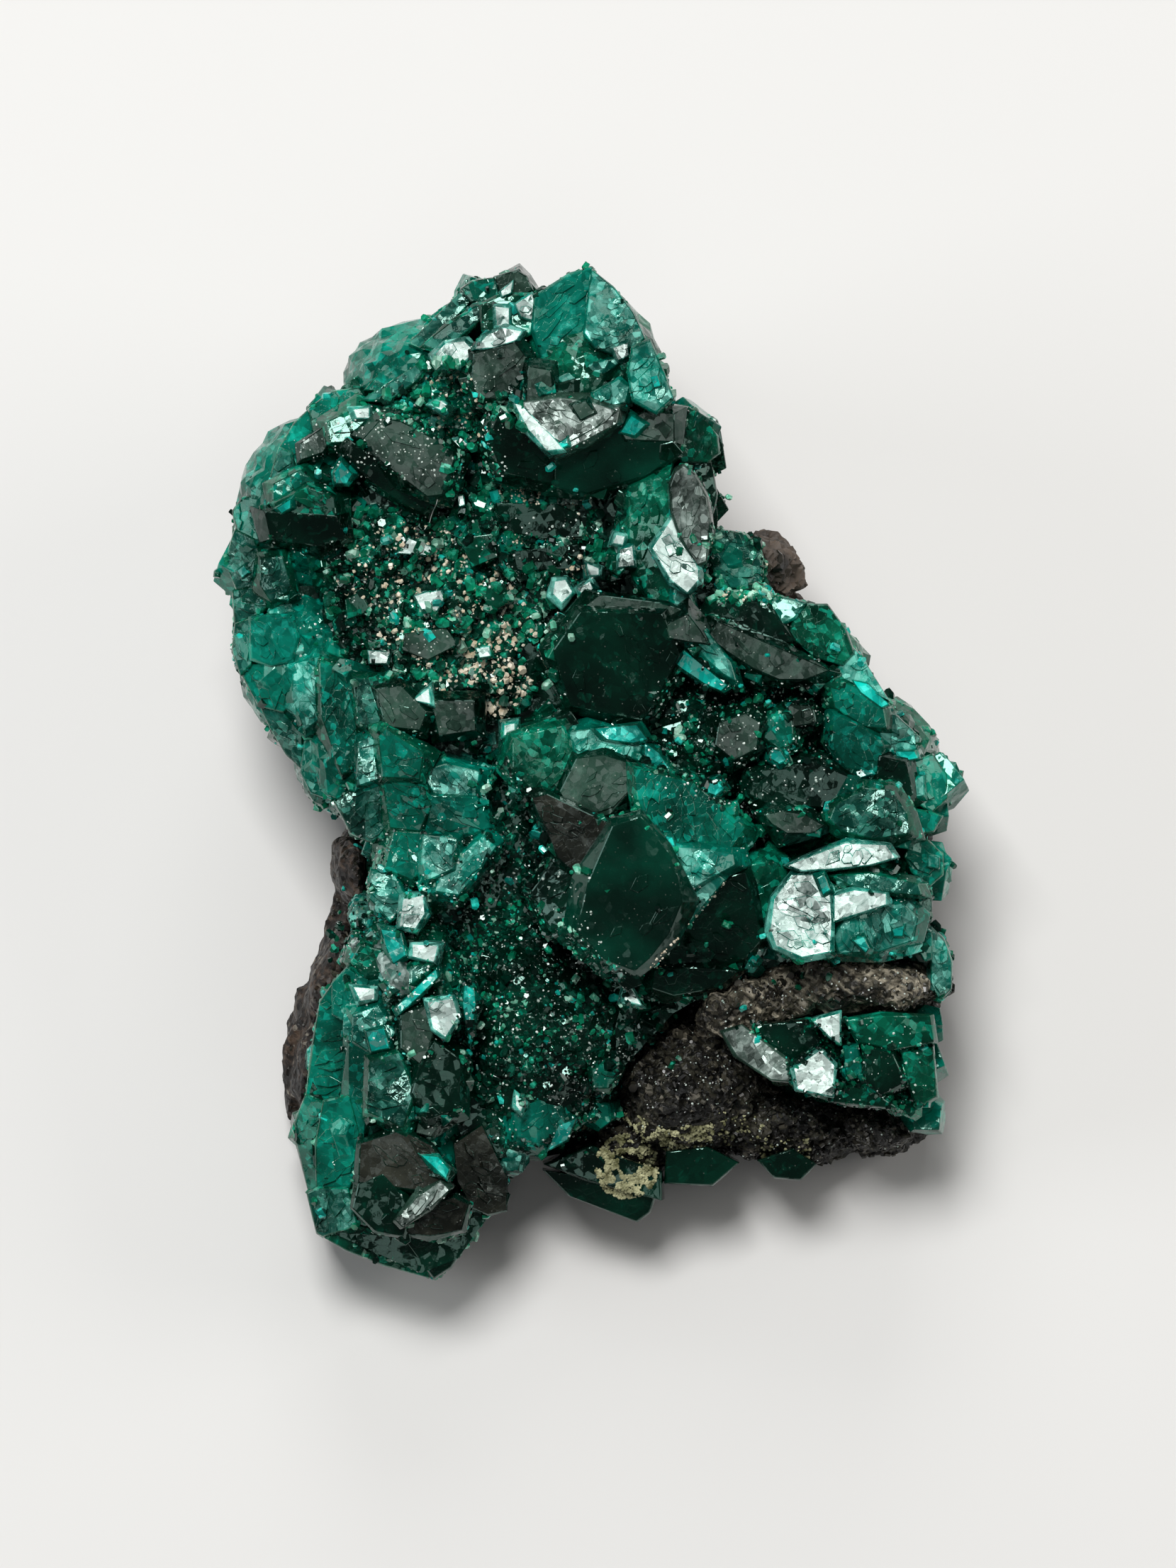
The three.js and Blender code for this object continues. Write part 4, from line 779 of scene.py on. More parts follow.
cyan 2 0.25 -0.05 5 0.1 | -11.1 -8, -10 -8.2, -9.7 -9.4, -10.4 -9.9, -10.8 -9
emerald 1 0.25 0 5 0.2 | -12.2 -8.9, -11 -9.2, -10.6 -10.3, -11.8 -10.4, -12.7 -9.8
mist 2.2 0.15 -0.1 4 0.1 | -10.9 -10.9, -9.4 -10, -8.2 -9.9, -9.2 -10.8, -10.4 -11.5
cyan 2.3 0.2 -0.2 4 0.1 | -10.2 -12.1, -8.6 -10.7, -8.1 -10.1, -8 -10.6, -9 -11.6, -10 -12.5
bright 0.2 0.35 0 6 0.1 | -13.7 -11, -12.7 -9.9, -11.2 -10.6, -11 -12.6, -12.6 -13.2, -13.7 -12.6
silver 1.1 0.08 -0.24 3 0.1 | -12.6 -11.1, -11.4 -11.2, -11.4 -11.8, -12.2 -11.9
frost 1.1 0.2 0 5 0.2 | -12.6 -12.6, -11.2 -12.1, -10.3 -13.6, -11.4 -14.8, -12.6 -14
cyan 1.5 0.15 0.05 3 0.1 | -11.9 -13.5, -10.9 -13.3, -10.6 -14.4, -11.6 -14.6
smoke 2.1 0.1 0.1 5 0.3 | -10 -12.6, -8.4 -12, -8.2 -13.4, -8.8 -15.4, -10 -14.4
silver 2.8 0.06 -0.22 5 0.2 | -8.6 -11.9, -7.2 -11.7, -6.9 -12.7, -7.6 -13.8, -8.3 -13.3
cyan 1.9 -0.2 0 2 0.1 | -6.6 -11, -6.1 -11.2, -6 -12, -6.3 -14.2, -6.6 -12.6, -6.7 -12
mist 1.6 0.15 0.05 5 0.2 | -11.7 -15.1, -10.1 -14.6, -9.3 -16.8, -9.9 -18.6, -11.8 -17.8
deep 1.9 -0.1 0.14 6 0.3 | -9 -15.4, -8.2 -14, -6.8 -15, -6.9 -17.6, -8.6 -18.2, -9.4 -16.8
# lower lobe, smooth left side and end
teal -1.4 0.5 0.3 6 0.1 | -14.4 -12, -13.7 -11, -13.6 -12.6, -12.7 -14, -12.8 -17, -14.2 -17.4, -15.2
    -17, -14.8 -14.4
teal -1.0 0.4 0.3 6 0.1 | -14.2 -17.3, -12.8 -17, -12.1 -19.6, -12.8 -22, -14.6 -22, -14.6 -19.6
teal -2.7 0.9 0.3 5 0.1 | -15.2 -17, -14.2 -17.4, -14.5 -22, -15 -22.6, -15.7 -19.6, -15.8 -18.6
bright 0.3 0.42 0.25 6 0.1 | -12.8 -13.6, -11.6 -14.8, -11.9 -17.6, -12.1 -19.6, -12.8 -17
mist -1.8 0.4 0.3 5 0.1 | -15.1 -22.3, -14.5 -22, -12.9 -22, -12.4 -24, -14.3 -24.6, -14.6 -24.4
umber 0.6 0.05 0.12 7 0.2 | -12.2 -19.5, -10 -18.8, -8.4 -19.6, -7.4 -21, -7.8 -22, -9.4 -22, -11 -21,
    -12.3 -21.6
glass 1.0 0.06 -0.18 6 0.2 | -10.3 -23.6, -9.2 -22.4, -7.9 -21.5, -7.4 -22, -8.5 -23, -9.9 -24
deep 0.3 0.1 0.15 6 0.2 | -12.3 -21.7, -11 -21.2, -10 -22.3, -9.6 -23, -9.9 -24.5, -11.4 -24.2, -12.6
    -23
umber 0.1 0 0.3 6 0.2 | -9.5 -23.1, -7.2 -22.4, -6.4 -22.8, -6.8 -24.2, -8.4 -24.5, -9.8 -24.4
cyan 1.1 0.05 -0.1 2 0.1 | -9 -20.1, -8 -20.2, -7.4 -20.9, -7.6 -21.4, -8.2 -20.8
umber -1.5 -0.5 0.1 5 0.1 | -7.2 -19.6, -5.7 -18.6, -4.9 -20.4, -4.4 -21.4, -4.4 -23.2, -5.4 -23.4, -6.2
    -23, -7 -21.6
emerald -2.8 0.05 0.6 4 0.1 | -14.2 -24.7, -12.6 -23.9, -11.5 -24.3, -10 -25, -8.7 -25.6, -8.6 -26.9,
    -11 -26.2, -13 -25.4
deep -2.5 -0.3 0.5 4 0.1 | -10 -24.6, -8.4 -24.7, -6.8 -24.4, -6.4 -24.8, -7.4 -26.3, -8.3 -26.9, -8.7
    -25.7
# single bright faces
silver 1.3 0.08 -0.24 2 0.1 | -9.4 4.2, -8.5 4.9, -8.4 4
silver 1.8 0.08 -0.24 3 0.1 | -4.5 2.9, -3.9 3, -3.9 2.4, -4.5 2.3
silver 0.6 0.08 -0.24 3 0.1 | -1.8 10.6, -1.2 10.7, -0.8 10, -1.4 9.4, -1.9 9.9
silver 0.8 0.05 -0.2 3 0.1 | -0.6 10.2, 0.1 10.6, 0.3 10.2, -0.2 9.7
silver 0.6 0.1 -0.26 3 0.1 | -0.1 11.6, 0.6 11.3, 0.6 10.9, 0 10.9
silver 1.2 0.08 -0.24 4 0.1 | 1.6 11.3, 1.7 12.3, 2.4 12.5, 2.5 11.4
silver 1 0.06 -0.22 4 0.1 | 1.3 12.6, 1.5 13.1, 2 13, 1.9 12.5
silver 1.2 0.08 -0.24 3 0.1 | -8.4 20, -7.9 20.3, -7.3 19.9, -7.7 19.6
silver 0.7 0.08 -0.24 3 0.1 | -7.3 18.1, -6.7 18.2, -6.4 17.9, -7 17.7
silver 0.2 0.08 -0.24 3 0.1 | -3.9 -16.8, -3.4 -17.4, -3.6 -17.9, -3.9 -17.5
# along the edge of the sparkling slope
bright -1.2 0.05 0.2 4 0.2 | -4 -18, -2.6 -17.2, -1.4 -17.6, -1.2 -18.6, -2.6 -19.6, -3.8 -19.2
cyan -1.2 0 0.2 3 0.1 | -1.6 -18.6, -0.6 -18.2, -1.1 -19.4, -2.2 -20
teal -0.6 0 0.1 4 0.2 | 0.2 -15.6, 1.4 -15, 1.8 -15.6, 1.1 -16.6, 0.3 -16.6
""")
print(len(FACED), "faced crystals")

# %% [markdown]
# Real faces are stacks of thin growth steps. Most of the faces get some plates a tenth of a
# millimetre high, drawn out along the grain of the face, so that one face flashes in several parts.


# %% Growth steps on a face
# About how many plates a finish gets per square millimetre, and the most that one face gets
MOST_PLATES = 16
STEPPED = {"silver": 1.1, "frost": 1.5, "mist": 1.7, "teal": 0.9, "bright": 0.8, "emerald": 0.4,
           "smoke": 0.3, "umber": 0.8, "green": 0.12, "deep": 0.25, "glass": 0.8}


def inside(u, v, outline):
    """True when (u, v) is within a closed outline."""
    odd = False
    for (au, av), (bu, bv) in zip(outline, outline[1:] + outline[:1]):
        if (av > v) != (bv > v) and u < (bu - au) * (v - av) / (bv - av) + au:
            odd = not odd
    return odd


def area_of(outline):
    """The area within a closed outline."""
    pairs = zip(outline, outline[1:] + outline[:1])
    return abs(sum(au * bv - bu * av for (au, av), (bu, bv) in pairs)) / 2


def growth_plates(rng, finish, w, lean, outline):
    """Thin plates that lie on a crystal face and follow its grain."""
    mu, mv = middle_of(outline)
    grain = rng.uniform(0, math.pi)
    wanted = min(MOST_PLATES, round(area_of(outline) * STEPPED.get(finish, 0) * 1.3))
    plates = []
    for attempt in range(wanted * 8):
        if len(plates) == wanted:
            break
        u, v = spot_near(rng, outline)
        along, across = rng.uniform(0.3, 1.1), rng.uniform(0.12, 0.4)
        turn = grain + rng.gauss(0, 0.2)
        sides = rng.choice((4, 5, 6))
        plate = []
        for k in range(sides):
            angle = math.tau * (k + rng.uniform(-0.25, 0.25)) / sides
            a, b = along * math.cos(angle), across * math.sin(angle)
            plate.append((u + a * math.cos(turn) - b * math.sin(turn),
                          v + a * math.sin(turn) + b * math.cos(turn)))
        if not all(inside(pu, pv, outline) for pu, pv in plate):
            continue
        height = w + lean[0] * (u - mu) + lean[1] * (v - mv) + rng.uniform(0.03, 0.16)
        tip = (lean[0] + rng.gauss(0, 0.05), lean[1] + rng.gauss(0, 0.05))
        plates.append(faced_crystal(finish, plate, height, tip, 0.7, 0.05, 0.06, 0.012))
    return plates


# %% Whole crystals of the main mass: finish, tip, radius, length, lean and spin
STANDING = [
    ("deep", -3.7, 27.4, -1.2, 1.4, 6, (0.15, 0.9), 0.4),
    ("teal", -6.3, 27, -1.8, 1.6, 6, (-0.3, 0.9), 1.1),
    ("teal", -8.4, 25, -2.4, 1.5, 6, (-0.6, 0.8), 0.3),
    ("teal", -10.6, 22.7, -2.2, 1.5, 6, (-0.6, 0.7), 0.9),
    ("emerald", -12.6, 21.6, -2, 1.5, 6, (-0.4, 0.8), 0.2),
    ("teal", -14.6, 20.7, -2.6, 1.5, 6, (-0.5, 0.8), 0.6),
    ("teal", 6, 19.6, 0.8, 1.8, 7, (0.35, 0.5), 0.9),
    ("deep", 7.3, 17.6, -0.8, 1.4, 6, (0.8, 0), 0.2),
    ("deep", 7.2, 15.2, -2.6, 1.4, 6, (0.8, 0.2), 0.6),
    ("smoke", 8, 2.4, 2.5, 1.6, 7, (0.05, 0.1), 0.5),
    ("teal", 10.4, 2.5, 2.3, 1.5, 7, (0.2, -0.05), 0.1),
    ("deep", 11.5, 3.9, 2, 1.3, 7, (0.1, 0.3), 0.7),
    ("teal", 19.4, -4.6, -0.6, 1.5, 6, (0.9, 0.05), 0.3),
    ("teal", 20.2, 0, -1, 1.9, 6, (1.1, 0.2), 0.8),
    ("teal", 19.4, -2, -1.4, 1.4, 6, (1, -0.2), 0.1),
    ("frost", 18.7, -9.8, -1.8, 1.1, 7, (0.4, -0.1), 0.2),
    ("silver", 2, 12.2, 0.8, 0.9, 5, (0.1, 0.1), 0.5),
    ("teal", -19.9, 11.6, -2.4, 2, 6, (-1, 0.1), 0.5),
    ("teal", -18.1, 8.6, -3.2, 1.3, 6, (-0.4, 0), 0.9),
    ("teal", -18.4, 14.2, -3.2, 1.3, 6, (-0.4, 0.2), 0.1),
    ("smoke", -17, 2.2, -3.4, 1.1, 5, (-0.8, -0.3), 0.2),
    ("emerald", -15.8, -19.4, -5.4, 1.1, 5, (-0.6, -0.2), 0.2),
]
print(len(STANDING), "standing crystals")

# %% [markdown]
# ### The bed and the smaller crystals
# Between the large crystals the mass is a bed of mounds. Smaller crystals stand all over it. Their
# places are random but repeatable: a ray dropped from the eye finds the surface, and the crystal
# leans with it. Which finish one gets depends on the part of the specimen it stands in.

# %% The bed
BED = [  # finish, middle (u, v, w) and half-sizes
    ("emerald", (-0.4, 21.4, -4), (4.4, 5.2, 6.8)),
    ("teal", (-8, 21.4, -5), (5.2, 3.5, 5.2)),
    ("teal", (-15.2, 14.4, -5), (3.7, 5.0, 4.6)),
    ("teal", (-15.4, 6.6, -5), (3.4, 4.6, 4.2)),
    ("teal", (-12.8, 1.4, -5), (3.0, 3.6, 5.0)),
    ("deep", (4.2, 13.4, -5), (2.5, 4.4, 6.6)),
    ("emerald", (10, 6.4, -5), (5.0, 2.8, 6.4)),
    ("deep", (6.6, 2.4, -5), (8, 4.4, 6.2)),
    ("emerald", (15.6, 0.6, -5), (3.4, 3.9, 5.6)),
    ("deep", (2.4, -5.4, -4.4), (5.4, 4.8, 8.0)),
    ("emerald", (13.6, -6, -5), (5.0, 3.6, 7.2)),
    ("emerald", (-9, -3.6, -5), (3.0, 4.6, 5.8)),
    ("emerald", (-9.6, -11.6, -5), (3.8, 5.2, 6.2)),
    ("teal", (-10, -20, -5.2), (4.0, 5.4, 4.6)),
    ("deep", (-2.6, -13.4, -5.6), (5, 7.0, 5.8)),
]
RIM = corners("""
    -11.5 20.4, -8.4 23.6, -5.6 26, -3 25.7, 0.2 26.6, 2.6 23.6, 4.4 19.8, 6.4 18.8, 6.2 14, 7.4
    12.2, 9.2 10.2, 12.4 9, 14.6 6, 16.4 3, 18.8 0.6, 19 -1.6, 18 -3.6, 18.4 -6, 18.6 -9.4, 13 -9.6,
    8.4 -10.4, 4.6 -12.6, 2 -15.4, 0 -18.4, -2.4 -20.2, -4.8 -20.4, -5 -23, -7 -25.8, -9 -26.6,
    -13.8 -24.4, -14.8 -20.6, -15 -17, -13.8 -12, -12.2 -8.6, -11.4 -4.4, -12.8 -1.8, -14.6 0.6,
    -16.4 3.8, -17.8 7.4, -18.4 12, -17.4 14.8, -16 18.2, -14 19.6
""")
BED_LOW, BED_HIGH = -8.0, -2.4


def rumple(bm, amount, size, seed=0.0):
    """Pushes every vertex along its normal by smooth noise."""
    bm.normal_update()
    for vert in bm.verts:
        push = noise.fractal(vert.co / size + Vector((seed, seed, seed)), 0.7, 2.0, 3)
        vert.co += vert.normal * push * amount


def bed_plate():
    """The flat-backed plate that joins all the mounds."""
    bm = bmesh.new()
    face = bm.faces.new([bm.verts.new((u, v, BED_LOW)) for u, v in RIM])
    rise = bmesh.ops.extrude_face_region(bm, geom=[face])
    top = [e for e in rise["geom"] if isinstance(e, bmesh.types.BMVert)]
    bmesh.ops.translate(bm, verts=top, vec=(0, 0, BED_HIGH - BED_LOW))
    bmesh.ops.triangulate(bm, faces=bm.faces[:])
    bmesh.ops.recalc_face_normals(bm, faces=bm.faces[:])
    return mesh_from(bm, "bed_plate")


def mound(middle, half, seed, subdivisions=4, amount=0.35):
    """A lump of intergrown small crystals."""
    bm = bmesh.new()
    bmesh.ops.create_icosphere(bm, subdivisions=subdivisions, radius=1)
    bmesh.ops.scale(bm, verts=bm.verts[:], vec=half)
    bmesh.ops.translate(bm, verts=bm.verts[:], vec=middle)
    rumple(bm, amount, 1.1, seed)
    return mesh_from(bm, "mound")


def set_finish(mesh, finish):
    """Gives all of a mesh one crystal finish."""
    for polygon in mesh.polygons:
        polygon.material_index = FINISH_ORDER.index(finish)
    return mesh


def grow_together(name, meshes):
    """Unites closed meshes into one, as crystals that grew into each other."""
    group = bpy.data.collections.new(name + "_members")
    objects = []
    for k, mesh in enumerate(meshes):
        if not mesh.materials:
            for material in CRYSTAL_MATERIALS:
                mesh.materials.append(material)
        member = bpy.data.objects.new(f"{name}_{k}", mesh)
        objects.append(member)
    first, others = objects[0], objects[1:]
    bpy.context.scene.collection.objects.link(first)
    bpy.context.scene.collection.children.link(group)
    for member in others:
        group.objects.link(member)
    union = first.modifiers.new("union", "BOOLEAN")
    union.operation = "UNION"
    union.operand_type = "COLLECTION"
    union.collection = group
    union.solver = "MANIFOLD"
    bpy.context.view_layer.update()
    depsgraph = bpy.context.evaluated_depsgraph_get()
    mesh = bpy.data.meshes.new_from_object(first.evaluated_get(depsgraph))
    for member in objects:
        bpy.data.objects.remove(member)
    bpy.data.collections.remove(group)
    print(name, "from", len(meshes), "bodies:", len(mesh.polygons), "faces")
    return mesh


def standing(rows):
    """Whole crystals from rows of finish, tip, radius, length, lean and spin."""
    meshes = []
    for finish, u, v, w, radius, length, lean, spin in rows:
        mesh = whole_crystal(finish, radius, length)
        mesh.transform(stand(u, v, w, lean, spin))
        meshes.append(mesh)
    return meshes


LOBE_END = -19
BROAD = 2.0
BROAD_SIDES, NARROW_SIDES = dict(flare=0.95, shoulder=1.3), dict(flare=0.45, shoulder=0.5)

bed_meshes = [set_finish(bed_plate(), "deep")]
for k, (finish, middle, half) in enumerate(BED):
    bed_meshes.append(set_finish(mound(middle, half, 3.1 * k), finish))
rng = random.Random(3)
hand_placed = []
for face in FACED:
    finish, outline = face["finish"], face["outline"]
    on_the_lobe_end = outline[0][1] < LOBE_END
    broad = area_of(outline) > BROAD and finish not in ("silver", "cyan") and not on_the_lobe_end
    if all(inside(u, v, RIM) for u, v in outline):
        sides = BROAD_SIDES if broad else NARROW_SIDES
    else:
        sides = dict(flare=face["flare"], shoulder=0.3)
    hand_placed.append(faced_crystal(**(face | sides)))
    hand_placed += growth_plates(rng, finish, face["w"], face["lean"], outline)
rough_mass = grow_together("rough_mass", bed_meshes + hand_placed + standing(STANDING))


# %% [markdown]
# Rays need a tree of the surface to hit. The tree is built once from each finished surface, in the
# layout, where the eye looks straight down the w axis.


# %% Finding places on a surface
def tree_of(*meshes):
    """A tree in which rays find one surface or several."""
    bm = bmesh.new()
    for mesh in meshes:
        bm.from_mesh(mesh)
    bmesh.ops.triangulate(bm, faces=bm.faces[:])
    tree = BVHTree.FromBMesh(bm)
    bm.free()
    return tree


def clear_of(u, v, outlines, margin):
    """True when a spot as wide as the margin touches none of the outlines."""
    spots = [(u, v)] + [
        (u + margin * math.cos(k), v + margin * math.sin(k)) for k in (0, 1.57, 3.14, 4.71)
    ]
    return not any(inside(su, sv, outline) for outline in outlines for su, sv in spots)


RAY_START = 60.0
DOWN = Vector((0, 0, -1))


def met(tree, start, onward):
    """Where a ray meets a surface, with the normal on the ray's side.

    Thin sheets have two faces in one place, and either may be the one that is found.
    """
    place, normal = tree.ray_cast(start, onward)[:2]
    if place and normal.dot(onward) > 0:
        normal = -normal
    return place, normal


def dropped(rng, tree, region, count, keep_off=(), steepest=0.15, margin=0.0):
    """Points where rays from the eye meet a surface within a region: place and normal."""
    found = []
    for attempt in range(count * 6):
        if len(found) == count:
            break
        u, v = spot_near(rng, region)
        if not inside(u, v, region) or not clear_of(u, v, keep_off, margin):
            continue
        place, normal = met(tree, Vector((u, v, RAY_START)), DOWN)
        if place and normal.z > steepest:
            found.append((place, normal))
    return found


def all_round(rng, mesh, count, accept):
    """Points that level rays from all sides meet, kept where accept(place, normal) says so."""
    tree = tree_of(mesh)
    low, high = min(vert.co.z for vert in mesh.vertices), max(vert.co.z for vert in mesh.vertices)
    found = []
    for shot in range(count):
        angle, aside = rng.uniform(0, math.tau), rng.uniform(-28, 28)
        outward = Vector((math.cos(angle), math.sin(angle), 0))
        start = outward * RAY_START + Vector((-outward.y, outward.x, 0)) * aside
        start.z = rng.uniform(low, high)
        place, normal = met(tree, start, -outward)
        if place and accept(place, normal):
            found.append((place, normal))
    return found


solid_bm = bmesh.new()
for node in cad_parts.values():
    solid_bm.from_mesh(node.data)
solid_bm.transform(LAYOUT.inverted())
solid_tree = BVHTree.FromBMesh(solid_bm)
solid_bm.free()


def keeps_the_outline(tip, normal, most):
    """True when a tip stands out of the CAD outline, as the eye sees it, by less than most."""
    sunk = tip - normal * most
    return solid_tree.ray_cast(Vector((sunk.x, sunk.y, RAY_START)), DOWN)[0] is not None


ZONES = [  # where, how far it reaches, and the finishes of the crystals there
    ((-10, 22), 5, "teal teal deep emerald"),
    ((1.5, 23), 4, "frost teal silver teal"),
    ((-18.5, 10), 4, "teal teal frost"),
    ((-15, 14), 3, "teal deep emerald"),
    ((-13, 1), 4, "teal emerald frost teal"),
    ((-6, 10), 5, "emerald emerald deep"),
    ((-8, 19), 3, "emerald deep deep frost"),
    ((3, 7), 4, "deep deep emerald"),
    ((3, 16), 3, "deep deep emerald"),
    ((10, 8), 4, "emerald teal deep"),
    ((8, 2), 4, "teal deep deep emerald"),
    ((16, 2), 4, "teal frost teal cyan"),
    ((2, -5), 4, "deep deep emerald"),
    ((6, -3), 3, "teal frost emerald"),
    ((14, -7), 4, "silver frost teal"),
    ((-8, -3), 4, "frost teal emerald teal"),
    ((-9, -9), 4, "frost frost silver cyan teal"),
    ((-2, -12), 5, "deep deep emerald"),
    ((-10, -15), 3, "frost teal deep"),
    ((-9, -20), 4, "smoke deep teal"),
    ((-10, -25), 3, "deep emerald"),
    ((-2, -18), 3, "teal emerald frost"),
]


def zone_finish(rng, u, v):
    """The finish of a small crystal, from the zone it is most inside of."""
    finishes = min(ZONES, key=lambda zone: math.dist(zone[0], (u, v)) / zone[1])[2]
    return rng.choice(finishes.split())


# %% Small crystals grown into the mass
rng = random.Random(41)
bare_faces = outlines_of(FACED)
# White faces: those whose colour holds the painted reflection of the key lamp.
white_faces = outlines_of(face for face in FACED if face["finish"] == "silver")
VUG = corners("""
    -14.3 11, -13 14.6, -8.6 14.6, -5.6 16.6, -2 16.2, 0.6 14.6, 1 11.4, -1.4 9.2, -3.2 7, -3 4.4,
    -5 3, -9 4.6, -12.2 5.8, -14 8
""")
MIDDLE_SLOPE = corners("3.6 5.4, 13 5, 13 -1.5, 8 -2, 3 -0.6")
DARK_SLOPES = [
    corners("-7 -3, -3 0, -1.6 -5, 2 -10, 3 -14, 0.5 -18, -4 -18, -7.4 -14"),
    MIDDLE_SLOPE,
]
rough_tree = tree_of(rough_mass)
small = []
for place, normal in dropped(rng, rough_tree, RIM, 520, bare_faces + [VUG], margin=0.1):
    radius = 0.35 + 0.6 * rng.random() ** 2
    if not clear_of(place.x, place.y, white_faces, radius * 0.9):
        continue
    lean = normal + Vector((rng.gauss(0, 0.35), rng.gauss(0, 0.35), 0.35))
    tip, foot = place + normal * radius * 0.45, place - lean.normalized() * radius * 3
    if not keeps_the_outline(tip, normal, 0.2) or not keeps_the_outline(foot, normal, 0):
        continue
    finish = zone_finish(rng, place.x, place.y)
    if any(inside(place.x, place.y, slope) for slope in DARK_SLOPES):
        radius *= 0.6
        finish = rng.choice(["deep"] * 5 + ["emerald"])
    mesh = whole_crystal(finish, radius, radius * 3.2, edge=0.03)
    mesh.transform(stand(*tip, (lean.x / lean.z, lean.y / lean.z), rng.uniform(0, math.pi)))
    small.append(mesh)


def on_a_flank(place, normal):
    """True on a steep, low part of the mass that no white face is near."""
    low_enough = place.z < 0.5 and clear_of(place.x, place.y, white_faces, 1.0)
    return normal.z < 0.4 and place.z > BED_LOW + 1 and low_enough


for place, normal in all_round(rng, rough_mass, 420, on_a_flank):
    radius = 0.5 + 0.9 * rng.random() ** 2
    mesh = whole_crystal(zone_finish(rng, place.x, place.y), radius, radius * 3, edge=0.03)
    axis = (normal + Vector((rng.gauss(0, 0.3), rng.gauss(0, 0.3), 0.5))).normalized()
    foot = place - axis * radius * 3
    if (LAYOUT @ foot).z < 0.001 + radius * 0.001 or not keeps_the_outline(foot, normal, 0):
        continue
    if not keeps_the_outline(place + axis * radius * 0.5, normal, 0.2):
        continue
    mesh.transform(Matrix.Translation(place + axis * radius * 0.25) @ turn_to(axis)
                   @ Matrix.Rotation(rng.uniform(0, math.pi), 4, "Z"))
    small.append(mesh)

mass_mesh = grow_together("dioptase_crystals", [rough_mass] + small)
mass_tree = tree_of(mass_mesh)
settle("dioptase_crystals", mass_mesh.copy(), CRYSTAL_MATERIALS, "dioptase", "dioptase_mass")

# %% [markdown]
# ## Pocket, foot and ledge crystals
# The pocket under the brown band holds a few bright crystals, made and united the same way. Three
# single crystals sit apart from them along the bottom edge.

# %% Pocket and bottom edge
POCKET = read_faces("""
silver 1.1 0.08 -0.22 5 0.2 | 12 -12.9, 13.5 -12.5, 13.5 -14.2, 12.9 -13.8
silver 1.3 0.08 -0.22 6 0.2 | 11 -15.5, 12.4 -14.5, 13.2 -15.3, 13.1 -17, 11.2 -16.6
glass 0.6 0.1 -0.1 6 0.3 | 7.2 -13.6, 8.3 -13.2, 10.6 -15, 10.8 -16.2, 9.8 -16.1, 8 -14.9
deep 0.3 0.05 0.25 6 0.5 | 9 -13.2, 11.7 -13, 12.4 -14.1, 11 -15.1, 9.9 -14.4
bright 0.9 -0.2 0.2 6 0.4 | 13.7 -14.4, 14.4 -14.4, 14.7 -15.7, 13.9 -16.1
emerald 0.9 -0.15 0.25 6 0.3 0.8 | 13.9 -12.9, 15.8 -12.7, 18.3 -12.7, 18.5 -14.1, 16.4 -14.5, 14.7
    -14.1
deep 0.8 -0.2 0.12 6 0.4 0.8 | 14.9 -14.4, 16.3 -14.7, 17 -16.2, 15.7 -16.9, 14.8 -16.1
emerald 0.1 -0.4 0.05 6 0.2 0.6 | 16.8 -14.7, 18.5 -14.4, 18.7 -17, 17.7 -17.6, 17.2 -16.2
emerald 0.4 -0.1 0.35 6 0.3 0.6 | 13.4 -16.7, 14.6 -16.4, 15.7 -17.2, 16.7 -17.7, 14.4 -17.4, 13 -17.3
""")
POCKET_STANDING = [
    ("teal", 18.9, -18.9, -2.6, 1.3, 5, (0.6, -0.7), 0.2),
    ("teal", 19.2, -15.4, -2, 1.5, 6, (0.9, -0.1), 0.5),
    ("teal", 19.1, -13.2, -2.2, 1.2, 5, (0.9, 0.1), 0.1),
    ("emerald", 17.2, -17.6, -0.8, 1.2, 5, (0.4, -0.5), 0.7),
]
POCKET_REGION = corners("7.8 -13.2, 13.4 -12.8, 18.2 -12.8, 18.2 -17.6, 16 -18, 11.6 -17")

pocket_bed = set_finish(mound((13.6, -15.2, -5.6), (4.6, 2.4, 5.4), 2.0), "deep")
pocket_parts = [pocket_bed] + [faced_crystal(**face) for face in POCKET]
rough_pocket = grow_together("rough_pocket", pocket_parts + standing(POCKET_STANDING))
rng = random.Random(17)
pocket_small = []
bare_tree = tree_of(rough_pocket)
for place, normal in dropped(rng, bare_tree, POCKET_REGION, 50, outlines_of(POCKET), margin=0.1):
    radius = 0.3 + 0.3 * rng.random() ** 2
    mesh = whole_crystal(rng.choice(["emerald", "deep", "teal"]), radius, radius * 3.4, edge=0.02)
    mesh.transform(stand(*(place + normal * radius * 0.5),
                         (normal.x + rng.gauss(0, 0.3), normal.y + rng.gauss(0, 0.3)),
                         rng.uniform(0, math.pi)))
    pocket_small.append(mesh)
pocket_mesh = grow_together("pocket_cluster", [rough_pocket] + pocket_small)
pocket_tree = tree_of(pocket_mesh)
settle("pocket_cluster", pocket_mesh.copy(), CRYSTAL_MATERIALS, "dioptase_pocket", "pocket_crystals")

